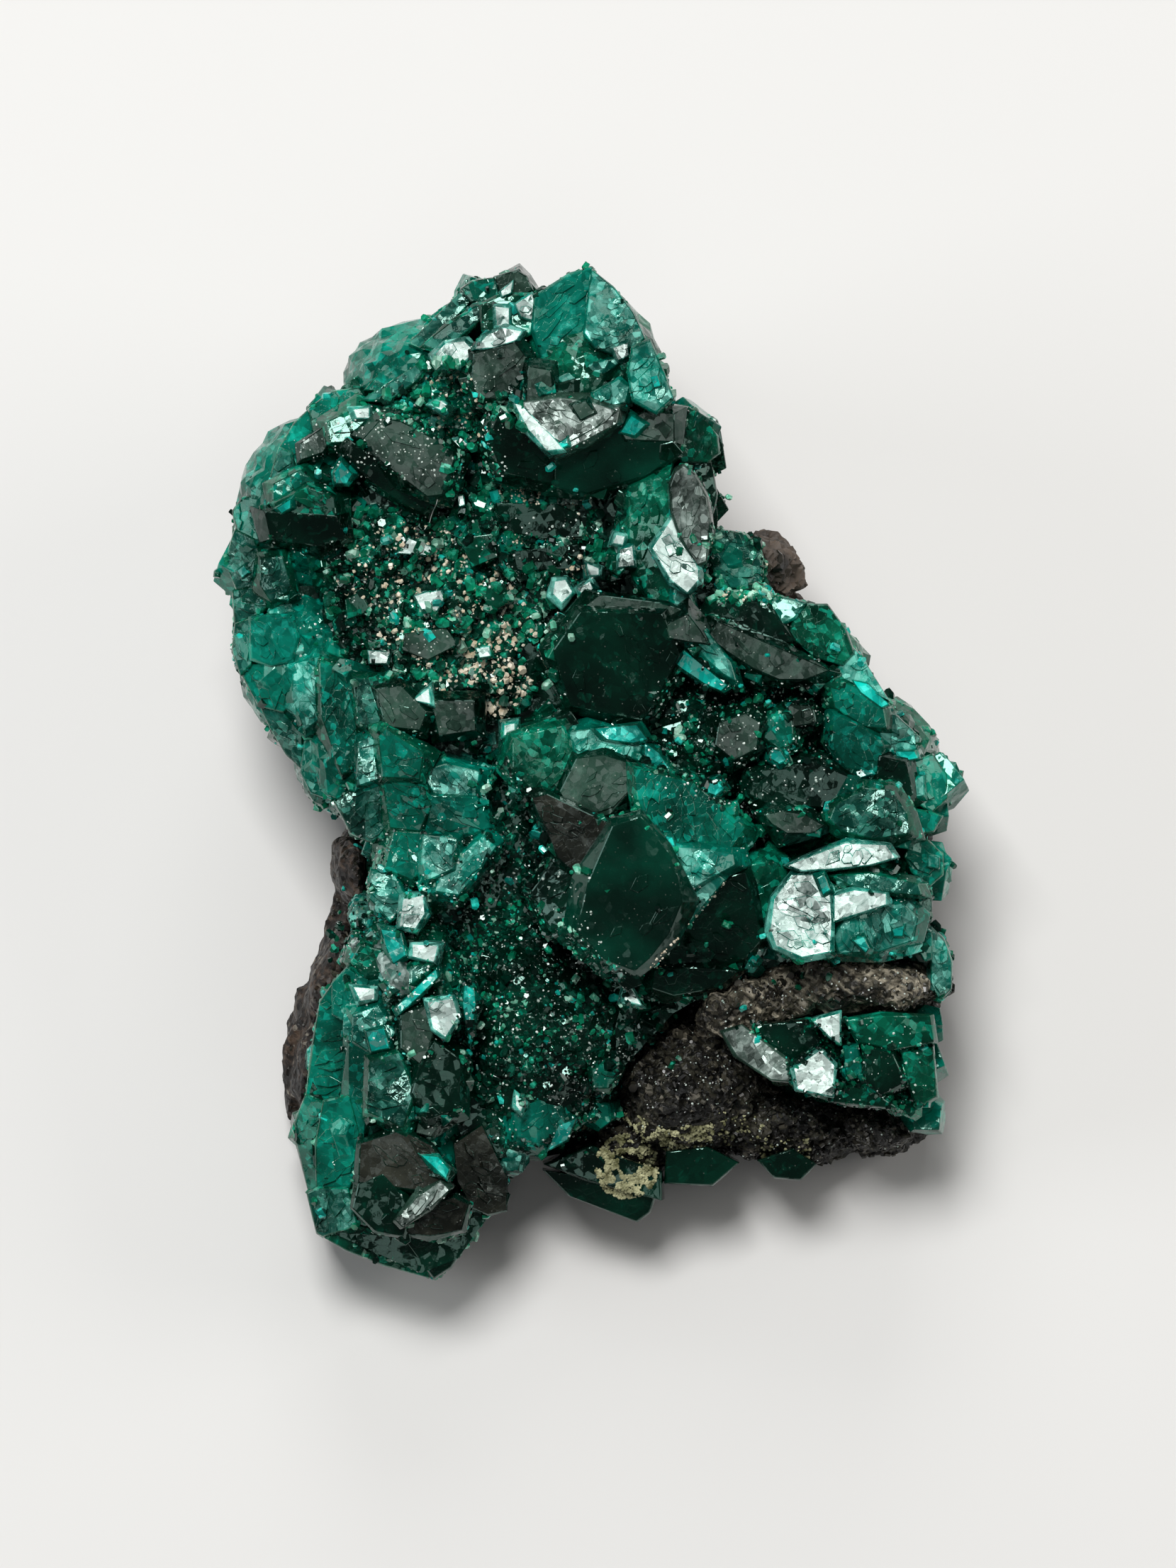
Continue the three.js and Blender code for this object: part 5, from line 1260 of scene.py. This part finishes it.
FOOT = read_faces("""
deep -4 0.05 0.5 3.4 0.1 | -2.4 -21.1, 0 -21.5, 3.6 -22.5, 3.3 -23.4, 2.6 -23.9, -1 -22.5
deep -3.2 0.02 0.2 4.4 0.3 | -2.2 -20.8, 0.2 -19.8, 3.8 -21.2, 3.9 -22.7, 0 -21.6
""")
(SPUR,) = read_faces("""
deep -3.4 -0.05 0.3 4 0.1 | 4.2 -21.8, 6.7 -21.9, 8.1 -20.7, 6.4 -19.9, 4.3 -20.1
""")
(NUB,) = read_faces("""
deep -3.8 0 0.4 4 0.1 | 9.2 -20.6, 10.1 -21.5, 11.4 -21.6, 12.3 -20.8, 11 -20
""")
foot_raw = grow_together("long_foot_crystal", [faced_crystal(**face) for face in FOOT])
spur_raw = faced_crystal(**SPUR)
settle("long_foot_crystal", foot_raw.copy(), CRYSTAL_MATERIALS, "dioptase_foot", "foot_crystal")
settle("ledge_spur", spur_raw.copy(), CRYSTAL_MATERIALS, "dioptase_foot", "spur_crystal")
settle("ledge_nub", faced_crystal(**NUB), CRYSTAL_MATERIALS, "dioptase_foot", "nub_crystal")

# %% [markdown]
# ## Host rock
# The rock is a dense, dark brown mass. Its CAD solid has the right shape but wide flat triangles, so
# a merged copy is remeshed into small even faces and roughened: fine grain everywhere, and a fibrous
# drag along the wall. The underside stays flat, because the specimen rests on it.

# %% Rock finish
def rock_finish(name, dark, middle, light):
    """A granular rock: three tones drawn out along the fibres, pale flecks and a rough relief."""
    material, tree, shader = new_material(name)
    where = position(tree)
    turned = add_node(tree, "ShaderNodeMapping", {"Vector": where, "Rotation": (0, 0, 0.6)})
    drawn = add_node(
        tree, "ShaderNodeMapping", {"Vector": turned.outputs[0], "Scale": (0.3, 1, 1)}
    )
    broad = add_node(tree, "ShaderNodeTexNoise", {"Vector": where, "Scale": 420.0, "Detail": 4.0})
    fibres = add_node(
        tree, "ShaderNodeTexNoise", {"Vector": drawn.outputs[0], "Scale": 3000.0, "Detail": 3.0}
    )
    rise, lot = tilted_cells(tree, where, 3200.0)
    blend = total(
        tree, product(tree, broad.outputs["Fac"], 0.45),
        product(tree, fibres.outputs["Fac"], 0.55),
    )
    # The lightest of the three tones is partly the rock's grain and partly a painted highlight on the
    # fibres.
    tone = colour_ramp(tree, blend, [(0.42, dark), (0.51, middle), (0.62, light)])
    # Pale flecks in a few cells along the fibres are painted sparkle.
    share = product(
        tree, remap(tree, lot, 0.86, 0.9, 0.0, 0.5),
        remap(tree, fibres.outputs["Fac"], 0.45, 0.6),
    )
    flecked_with_painted_sparkle = mix_colours(tree, share, tone, (0.34, 0.31, 0.25, 1))
    tree.links.new(flecked_with_painted_sparkle, shader.inputs["Base Color"])
    height = total(tree, product(tree, rise, CELL_RISE), fibres.outputs["Fac"])
    add_relief(tree, shader, height, 0.7, 0.00025)
    shader.inputs["Roughness"].default_value = 0.5
    shader.inputs["Specular IOR Level"].default_value = 0.35
    return material


ledge_rock = rock_finish(
    "dark_rock", (0.001, 0.001, 0.0008), (0.005, 0.0048, 0.0033), (0.04, 0.038, 0.026)
)
wall_rock = rock_finish(
    "brown_wall", (0.0025, 0.0015, 0.001), (0.012, 0.0075, 0.005), (0.07, 0.045, 0.03)
)
# The band is a lighter brown than the ledge, and its colour is made lighter still as painted light
# against the shadow of the crystal block above it.
band_rock_with_painted_light = rock_finish(
    "brown_band_with_painted_light", (0.014, 0.0125, 0.009), (0.12, 0.107, 0.078), (0.42, 0.375, 0.28)
)


# %% Recipe for grains and chips
def grain_finish(name, low, high, scale, roughness):
    """A matt grain whose colour drifts between two tones."""
    material, tree, shader = new_material(name)
    mottle_and_facet_light = add_node(
        tree, "ShaderNodeTexNoise", {"Vector": position(tree), "Scale": scale, "Detail": 3.0}
    )
    tone = colour_ramp(tree, mottle_and_facet_light.outputs["Fac"], [(0.35, low), (0.65, high)])
    tree.links.new(tone, shader.inputs["Base Color"])
    add_relief(tree, shader, mottle_and_facet_light.outputs["Fac"], 0.4, 0.0001)
    shader.inputs["Roughness"].default_value = roughness
    return material


# %% Rock shape
def remeshed(mesh, voxel):
    """An even, closed mesh over a shape."""
    holder = bpy.data.objects.new("remesh_holder", mesh)
    bpy.context.scene.collection.objects.link(holder)
    modifier = holder.modifiers.new("even", "REMESH")
    modifier.mode = "VOXEL"
    modifier.voxel_size = voxel
    bpy.context.view_layer.update()
    result = bpy.data.meshes.new_from_object(
        holder.evaluated_get(bpy.context.evaluated_depsgraph_get())
    )
    bpy.data.objects.remove(holder)
    return result


ROCK_MESH_SIZE = 0.25

rock_mesh = remeshed(solid_in_layout("matrix_rock"), ROCK_MESH_SIZE)
bm = bmesh.new()
bm.from_mesh(rock_mesh)
bm.normal_update()
for vert in bm.verts:
    height = (LAYOUT @ vert.co).z * 1000
    flat = min(1.0, max(0.0, (height - 0.15) / 0.8))
    co = vert.co
    coarse = noise.fractal(co / 1.4, 0.8, 2.1, 3)
    fine = noise.ridged_multi_fractal(co / 0.6, 0.7, 2.2, 4, 1.0, 2.0) - 1.0
    on_the_wall = co.x < -10 and co.y < 2
    if on_the_wall:
        fibre = noise.noise(Vector((co.x / 0.5, co.y / 3.5, co.z / 1.6)))
    else:
        along, across = co.x * 0.82 - co.y * 0.57, co.x * 0.57 + co.y * 0.82
        fibre = noise.noise(Vector((along / 2.2, across / 0.4, co.z / 0.9)))
    rough = 0.1 * coarse + 0.05 * fine if on_the_wall else 0.30 * coarse + 0.26 * fine
    push = rough + 0.2 * fibre
    on_the_band = co.x > 4.5 and -13.4 < co.y < 0 and co.z > -3
    if on_the_band:
        push += 0.25
    vert.co += vert.normal * push * flat
bm.to_mesh(rock_mesh)
bm.free()
BAND, CHIP, WALL = 1, 2, 3
for polygon in rock_mesh.polygons:
    u, v, w = polygon.center
    if u > 7 and v > 8.5:
        polygon.material_index = CHIP
    elif u > 4 and v > -13.9 and w > -4:
        polygon.material_index = BAND
    elif u < -10 and v < 2:
        polygon.material_index = WALL
rock_tree = tree_of(rock_mesh)
chip = grain_finish("pinkish_chip", (0.014, 0.011, 0.008), (0.10, 0.072, 0.052), 620.0, 0.6)
rock_materials = [ledge_rock, band_rock_with_painted_light, chip, wall_rock]
settle("host_rock", rock_mesh.copy(), rock_materials, "matrix_rock", "matrix_rock")


# %% [markdown]
# ## Druse, grains and crust
# The sparkle of the piece comes from thousands of crystals smaller than half a millimetre. Each kind
# is one mesh: a template crystal copied to every place with its own turn and size. The vug's floor
# is the same CAD crust, made finer.


# %% Copies of one small shape
def template(kind):
    """The shape that is copied: a crystal end or a lump."""
    bm = bmesh.new()
    if kind == "crystal":
        bm.from_mesh(whole_crystal("deep", 1.0, 2.6, edge=0.0))
        bmesh.ops.remove_doubles(bm, verts=bm.verts[:], dist=0.01)
    else:
        bmesh.ops.create_icosphere(bm, subdivisions=1, radius=1)
        rumple(bm, 0.35, 0.9, 1.7)
    return mesh_from(bm, "template_" + kind)


def copies(name, shape, matrices, indices=None):
    """One mesh that holds a copy of a shape for each matrix."""
    count = len(shape.vertices)
    co = np.empty(count * 3)
    shape.vertices.foreach_get("co", co)
    co = co.reshape(-1, 3)
    loops = np.empty(len(shape.loops), dtype=np.int32)
    shape.loops.foreach_get("vertex_index", loops)
    starts = np.empty(len(shape.polygons), dtype=np.int32)
    shape.polygons.foreach_get("loop_start", starts)
    places = np.array([[list(row) for row in m] for m in matrices])
    points = np.einsum("kij,nj->kni", places[:, :3, :3], co) + places[:, None, :3, 3]
    steps = np.arange(len(matrices))
    mesh = bpy.data.meshes.new(name)
    mesh.vertices.add(points.shape[0] * count)
    mesh.vertices.foreach_set("co", points.ravel())
    mesh.loops.add(len(loops) * len(matrices))
    mesh.loops.foreach_set("vertex_index", (loops[None] + steps[:, None] * count).ravel())
    mesh.polygons.add(len(starts) * len(matrices))
    mesh.polygons.foreach_set("loop_start", (starts[None] + steps[:, None] * len(loops)).ravel())
    if indices is not None:
        mesh.polygons.foreach_set("material_index", np.repeat(indices, len(starts)))
    mesh.update(calc_edges=True)
    mesh.validate()
    mesh.shade_flat()
    return mesh


def set_on(rng, place, normal, size, sink, wild=0.6, stretch=1.0):
    """The matrix of a small crystal that stands on a surface."""
    axis = (normal + Vector([rng.gauss(0, wild) for k in range(3)])).normalized()
    return (
        Matrix.Translation(place + axis * size * sink)
        @ turn_to(axis)
        @ Matrix.Rotation(rng.uniform(0, math.tau), 4, "Z")
        @ Matrix.Diagonal((size, size, size * stretch, 1))
    )


crystal_shape = template("crystal")
lump_shape = template("lump")
print("druse crystal:", len(crystal_shape.polygons), "faces")

# %% Vug crust
vug_source = set_finish(solid_in_layout("vug_druse"), "deep")
rng = random.Random(5)
vug_tree = tree_of(vug_source)
vug_parts = [vug_source]
VUG_FACES = read_faces("""
deep -0.6 -0.08 0.14 1.6 0.15 0.1 | -4.9 14.8, -1.6 14.7, -0.5 14.2, -0.3 13, -2.4 12.9, -4.6 13.4
deep -0.7 0 0.2 1.6 0.15 0.1 | -4 12.2, -0.5 12.6, -0.4 11.3, -3.8 11.2
silver 0.1 0.08 -0.24 1.6 0.15 0.1 | -10.2 12.1, -9.6 12.9, -8.3 12.4, -8.6 12, -9.6 12.2
silver 0.2 0.08 -0.24 1.6 0.15 0.1 | -9.3 9.8, -8.7 10, -7.9 10.1, -7.7 9.7, -8.1 9, -8.9 9.1
silver 0.1 0.06 -0.22 1.6 0.15 0.1 | -7 15.2, -6.7 15.2, -6.6 14.7, -6.9 14.6
silver 0.1 0.08 -0.26 1.6 0.15 0.1 | -11.8 6.9, -10.6 6.8, -10.8 6.2, -11.7 6.2
silver 0.1 0.08 -0.24 1.6 0.15 0.1 | -6 7, -5.3 7.1, -5.2 6.6, -5.8 6.5
smoke -0.2 0.05 0.1 1.6 0.15 0.1 | -9.8 7.8, -7.6 8.1, -7 7.2, -8.6 6.4, -9.9 6.9
emerald 0 0.1 0.1 1.6 0.15 0.1 | -6.9 12.9, -5.2 13.1, -4.9 11.9, -6.2 11.4
emerald 0 -0.1 0.15 1.6 0.15 0.1 | -5.8 10.2, -4.6 10.6, -4.1 9.6, -5.2 9
emerald 0 0.1 0.15 1.6 0.15 0.1 | -13 9.6, -12.2 10, -11.7 9, -12.9 8.6
""")
vug_parts += [faced_crystal(**face, edge=0.02) for face in VUG_FACES]
for place, normal in dropped(rng, vug_tree, VUG, 260):
    radius = 0.3 + 0.6 * rng.random() ** 2
    mesh = whole_crystal(rng.choice(["emerald", "deep", "emerald", "teal", "deep"]), radius,
                         radius * 3, edge=0.02)
    lean = normal + Vector((rng.gauss(0, 0.6), rng.gauss(0, 0.6), 0.4))
    mesh.transform(stand(*(place + normal * radius * 0.6), (lean.x / lean.z, lean.y / lean.z),
                         rng.uniform(0, math.pi)))
    vug_parts.append(mesh)
vug_mesh = grow_together("vug_crust", vug_parts)
vug_tree = tree_of(vug_mesh)
settle("vug_crust", vug_mesh.copy(), CRYSTAL_MATERIALS, "druse", "vug_druse")

# %% Fine druse
DRUSE_FINISHES = [
    crystal_finish("druse_emerald", (0.001, 0.12, 0.055), (0.002, 0.2, 0.1), (0.03, 0.42, 0.28),
                   0.42, dust=0.0, smooth=0.05, clear=0.25, bump=0.1, thick=False, mirror=0.42),
    crystal_finish("druse_dark", (0.001, 0.012, 0.008), (0.001, 0.035, 0.02), (0.01, 0.16, 0.10),
                   0.35, dust=0.0, smooth=0.05, clear=0.25, bump=0.1, thick=False),
    crystal_finish("druse_pale", (0.03, 0.26, 0.16), (0.10, 0.40, 0.26), (0.4, 0.62, 0.5),
                   0.5, dust=0.0, smooth=0.08, clear=0.2, bump=0.1, thick=False, mirror=0.42),
    crystal_finish("druse_turquoise", (0.0, 0.26, 0.2), (0.005, 0.40, 0.32), (0.05, 0.66, 0.55),
                   0.45, dust=0.0, smooth=0.08, clear=0.2, bump=0.1, thick=False, mirror=0.42),
]
DRUSE_FIELDS = [  # region, surface, number, sizes, odds of emerald, dark, pale, turquoise
    (VUG, "vug", 2100, (0.09, 0.34), (5, 5, 1.6, 0.4)),
    (corners("-12.6 19, -9 22.4, -3.4 22.4, -3 17, -7 15, -12 17"), "mass", 620,
     (0.09, 0.32), (5, 5, 1.2, 0.8)),
    (corners("-7.4 -8, -3 -6, 2 -10, 3 -14, 0 -19.5, -5 -20, -7 -14"), "mass", 1700,
     (0.08, 0.26), (1.1, 9, 0.4, 0.2)),
    (corners("-6 2, -3 0, -1.6 -5, -3 -9, -7 -9, -6 -3"), "mass", 600,
     (0.08, 0.24), (1.2, 9, 0.4, 0.3)),
    (MIDDLE_SLOPE, "mass", 620, (0.09, 0.28), (2.5, 7, 0.8, 0.6)),
    (corners("6.2 13.6, 9.4 13, 10.4 9.4, 7 9"), "mass", 330, (0.10, 0.3), (4, 2, 3, 0.5)),
    (corners("-16 3, -9 4, -8 -6, -13 -9, -14 -2"), "mass", 200, (0.08, 0.2), (3, 3, 1, 1)),
    (corners("-13 -4, -6 -4, -6 -15, -13 -15"), "mass", 300, (0.08, 0.24), (3, 3, 2, 2)),
    (RIM, "mass", 380, (0.07, 0.2), (4, 6, 0.6, 0.6)),
    (POCKET_REGION, "pocket", 260, (0.10, 0.24), (5, 5, 0.6, 0.6)),
]
# The surfaces that druse can grow on, and the faces that it leaves bare
TREES = {"vug": vug_tree, "mass": mass_tree, "pocket": pocket_tree}
BARE = {"mass": bare_faces, "vug": outlines_of(VUG_FACES), "pocket": outlines_of(POCKET)}
rng = random.Random(29)
places, kinds = [], []
for region, surface, count, (least, most), odds in DRUSE_FIELDS:
    for place, normal in dropped(rng, TREES[surface], region, count, BARE[surface], -1):
        size = least + (most - least) * rng.random() ** 2.2
        places.append(set_on(rng, place, normal, size, 0.5))
        shade = noise.noise(place / 1.1 + Vector((7, 0, 0)))
        lit = (odds[0], odds[1] * (0.25 if shade > 0.05 else 2.5), odds[2], odds[3])
        kinds.append(rng.choices(range(4), weights=lit)[0])
druse_mesh = copies("fine_druse", crystal_shape, places, kinds)
settle("fine_druse", druse_mesh, DRUSE_FINISHES, "druse")

# %% Druse on the flanks
def rng_at(place):
    """Random numbers that hang on the place alone, so that no crystal depends on the one before."""
    return random.Random(f"{place.x:.2f} {place.y:.2f} {place.z:.2f}")


def on_the_side(place, normal):
    """True on a steep part of the mass, above its lower edge and within its outline."""
    steep = normal.z < 0.35 and place.z > BED_LOW + 0.4
    return steep and keeps_the_outline(place, normal, 0.1)


places, kinds = [], []
for place, normal in all_round(random.Random(31), mass_mesh, 7000, on_the_side):
    rng = rng_at(place)
    size = 0.10 + 0.17 * rng.random() ** 2
    places.append(set_on(rng, place, normal, size, 0.4))
    kinds.append(rng.choices(range(4), weights=(6, 3, 1, 2))[0])
print("flank druse:", len(places))
flank_mesh = copies("flank_druse", crystal_shape, places, kinds)
settle("flank_druse", flank_mesh, DRUSE_FINISHES, "druse")


# %% [markdown]
# Cream grains lie among the druse of the vug, and an olive-yellow crust of small lumps powders the
# lower ledge. Both have a matt, slightly uneven colour. Tiny pale glints are scattered over the rest.


# %% Grain finishes
cream = grain_finish("cream_grain", (0.58, 0.47, 0.32), (0.92, 0.86, 0.70), 1800.0, 0.35)
olive = grain_finish("olive_crust", (0.10, 0.10, 0.035), (0.55, 0.54, 0.32), 1600.0, 0.85)
glint = grain_finish("pale_glint", (0.36, 0.46, 0.40), (0.7, 0.76, 0.7), 1800.0, 0.3)
umber = grain_finish("rock_grain", (0.002, 0.002, 0.0015), (0.055, 0.050, 0.035), 620.0, 0.3)

# %% Cream grains and glints
CREAM_FIELDS = [
    (corners("-13.6 10.6, -12 13.4, -8.6 14, -5 12, -2.6 8, -3 4.4, -5 3, -9 5"),
     "vug", 420, (0.05, 0.19)),
    (corners("-6.6 8.4, -4 8.4, -3 5, -4.6 3, -6.6 5"), "vug", 90, (0.08, 0.27)),
    (corners("-2 12, 1.4 12, 1.4 9.4, -1.4 9"), "vug", 60, (0.06, 0.16)),
    (corners("-5 16, -1 15.6, 0 13, -4 12.6"), "vug", 120, (0.04, 0.1)),
    (corners("-9.6 21.6, -6 21.6, -5.4 18, -9 19"), "mass", 50, (0.05, 0.13)),
    (corners("6.4 13, 9.6 12.4, 10 9.6, 7.2 9.4"), "mass", 60, (0.06, 0.15)),
    (corners("3.2 -10, 4 -10.2, 7.6 -5.6, 6.8 -5.2"), "mass", 120, (0.04, 0.11)),
]
GLINT_FIELDS = [
    (corners("-7.4 -4, -3 -2, 2 -10, 3 -14, 0 -19.5, -5 -20, -7 -14"), "mass", 520),
    (MIDDLE_SLOPE, "mass", 260),
    (corners("-13 -2, -5 -2, -6 -15, -13 -15"), "mass", 240),
    (VUG, "vug", 420),
    (corners("-16.5 18, -12 20, -5 21.6, -4 16, -12 16"), "mass", 260),
    (RIM, "mass", 600),
    (POCKET_REGION, "pocket", 90),
]
rng = random.Random(61)
places = []
for region, surface, count, (least, most) in CREAM_FIELDS:
    for place, normal in dropped(rng, TREES[surface], region, count, BARE[surface], -1):
        size = least + (most - least) * rng.random() ** 1.8
        places.append(set_on(rng, place, normal, size, 0.7, stretch=rng.uniform(0.4, 0.8)))
cream_mesh = copies("cream_grains", crystal_shape, places)
settle("cream_grains", cream_mesh, [cream], "druse")

places = []
for region, surface, count in GLINT_FIELDS:
    keep_off = BARE[surface] if region is RIM else ()
    for place, normal in dropped(rng, TREES[surface], region, count, keep_off, -1):
        size = 0.03 + 0.06 * rng.random() ** 2
        places.append(set_on(rng, place, normal, size, 0.5, stretch=0.4))
settle("pale_glints", copies("pale_glints", crystal_shape, places), [glint], "druse")

# %% Lint fibre
LINT = corners("-8.05 14.95, -8.12 14.7, -8.3 14.4, -8.42 14.1, -8.5 13.8, -8.78 13.4")
LINT_RADIUS = 0.025


def highest_below(u, v):
    """How high the crystals reach under a spot, in w."""
    above = Vector((u, v, RAY_START))
    hits = [tree.ray_cast(above, DOWN)[0] for tree in (mass_tree, vug_tree)]
    return max(hit.z for hit in hits if hit)


bm = bmesh.new()
bmesh.ops.create_circle(bm, cap_ends=True, segments=6, radius=LINT_RADIUS)
upright = Matrix.Rotation(math.radians(90), 4, "X")
at = Vector((*LINT[0], highest_below(*LINT[0]) + 0.1))
bmesh.ops.transform(bm, matrix=Matrix.Translation(at) @ upright, verts=bm.verts[:])
end = bm.faces[:]
for step, (u, v) in enumerate(LINT[1:]):
    onward = Vector((u, v, highest_below(u, v) + 0.1))
    grown = bmesh.ops.extrude_face_region(bm, geom=end)
    new_verts = [e for e in grown["geom"] if isinstance(e, bmesh.types.BMVert)]
    bmesh.ops.translate(bm, verts=new_verts, vec=onward - at)
    if step > 0:
        bmesh.ops.delete(bm, geom=end, context="FACES_ONLY")
    end = [e for e in grown["geom"] if isinstance(e, bmesh.types.BMFace)]
    at = onward
bmesh.ops.recalc_face_normals(bm, faces=bm.faces[:])
lint = grain_finish("lint", (0.5, 0.5, 0.46), (0.8, 0.8, 0.76), 900.0, 0.8)
settle("lint_fibre", mesh_from(bm, "lint_fibre"), [lint], "druse")

# %% Olive crust and rock grains
def circle(u, v, radius, sides=14):
    """A round outline."""
    angles = [math.tau * k / sides for k in range(sides)]
    return [(u + radius * math.cos(a), v + radius * math.sin(a)) for a in angles]


OLIVE_FIELDS = [
    (circle(2.1, -20.9, 1.75), 1900),
    (corners("1.6 -18, 3 -18.2, 4.6 -19, 6 -18.2, 6.8 -18.6, 6.6 -19.8, 4.2 -20, 2.4 -19"), 1000),
    (corners("7 -17.8, 10 -18.4, 9.6 -20, 7 -19.8"), 120),
    (corners("9 -19.6, 12 -19.4, 12 -20.8, 9.4 -20.6"), 120),
]
foot_tree = tree_of(rock_mesh, foot_raw, spur_raw)
rng = random.Random(73)
places = []
HOLES = [
    circle(2.2, -20.8, 0.6, 7),
    corners("5.2 -17.4, 6.4 -17.5, 6.3 -18.1, 5.4 -18.1"),
]
for region, count in OLIVE_FIELDS:
    for place, normal in dropped(rng, foot_tree, region, count, HOLES, -1):
        if noise.noise(place / 0.5) > -0.12:
            places.append(set_on(rng, place, normal, rng.uniform(0.035, 0.11), 0.3))
settle("olive_crust", copies("olive_crust", lump_shape, places), [olive], "matrix_rock")

ROCK_SHOWN = corners("-17 2, -11 0, -11 -6, -14 -14, -15 -19, -17 -19")
LEDGE = corners("2 -12, 6 -10, 19 -9.6, 19 -13, 8 -13.4, 18 -18, 17 -20.6, 0 -21")
rng = random.Random(83)
places = []
for region, count in ((LEDGE, 2600), (ROCK_SHOWN, 120), (corners("8 13.6, 11 12, 10 9.6"), 60)):
    for place, normal in dropped(rng, rock_tree, region, count, (), -1):
        places.append(set_on(rng, place, normal, 0.05 + 0.13 * rng.random() ** 2, 0.4))
for place, normal in all_round(rng, rock_mesh, 3600, lambda p, n: n.z < 0.5):
    if (LAYOUT @ place).z > 0.0006 and not (place.x < -10 and place.y < 2):
        places.append(set_on(rng, place, normal, 0.08 + 0.2 * rng.random() ** 2, 0.25))
rock_glints = []
for place, normal in dropped(rng, rock_tree, LEDGE, 420, (), -1):
    rock_glints.append(set_on(rng, place, normal, 0.03 + 0.04 * rng.random(), 0.6, stretch=0.4))
settle("rock_glints", copies("rock_glints", crystal_shape, rock_glints), [glint], "matrix_rock")
settle("rock_grains", copies("rock_grains", crystal_shape, places), [umber], "matrix_rock")
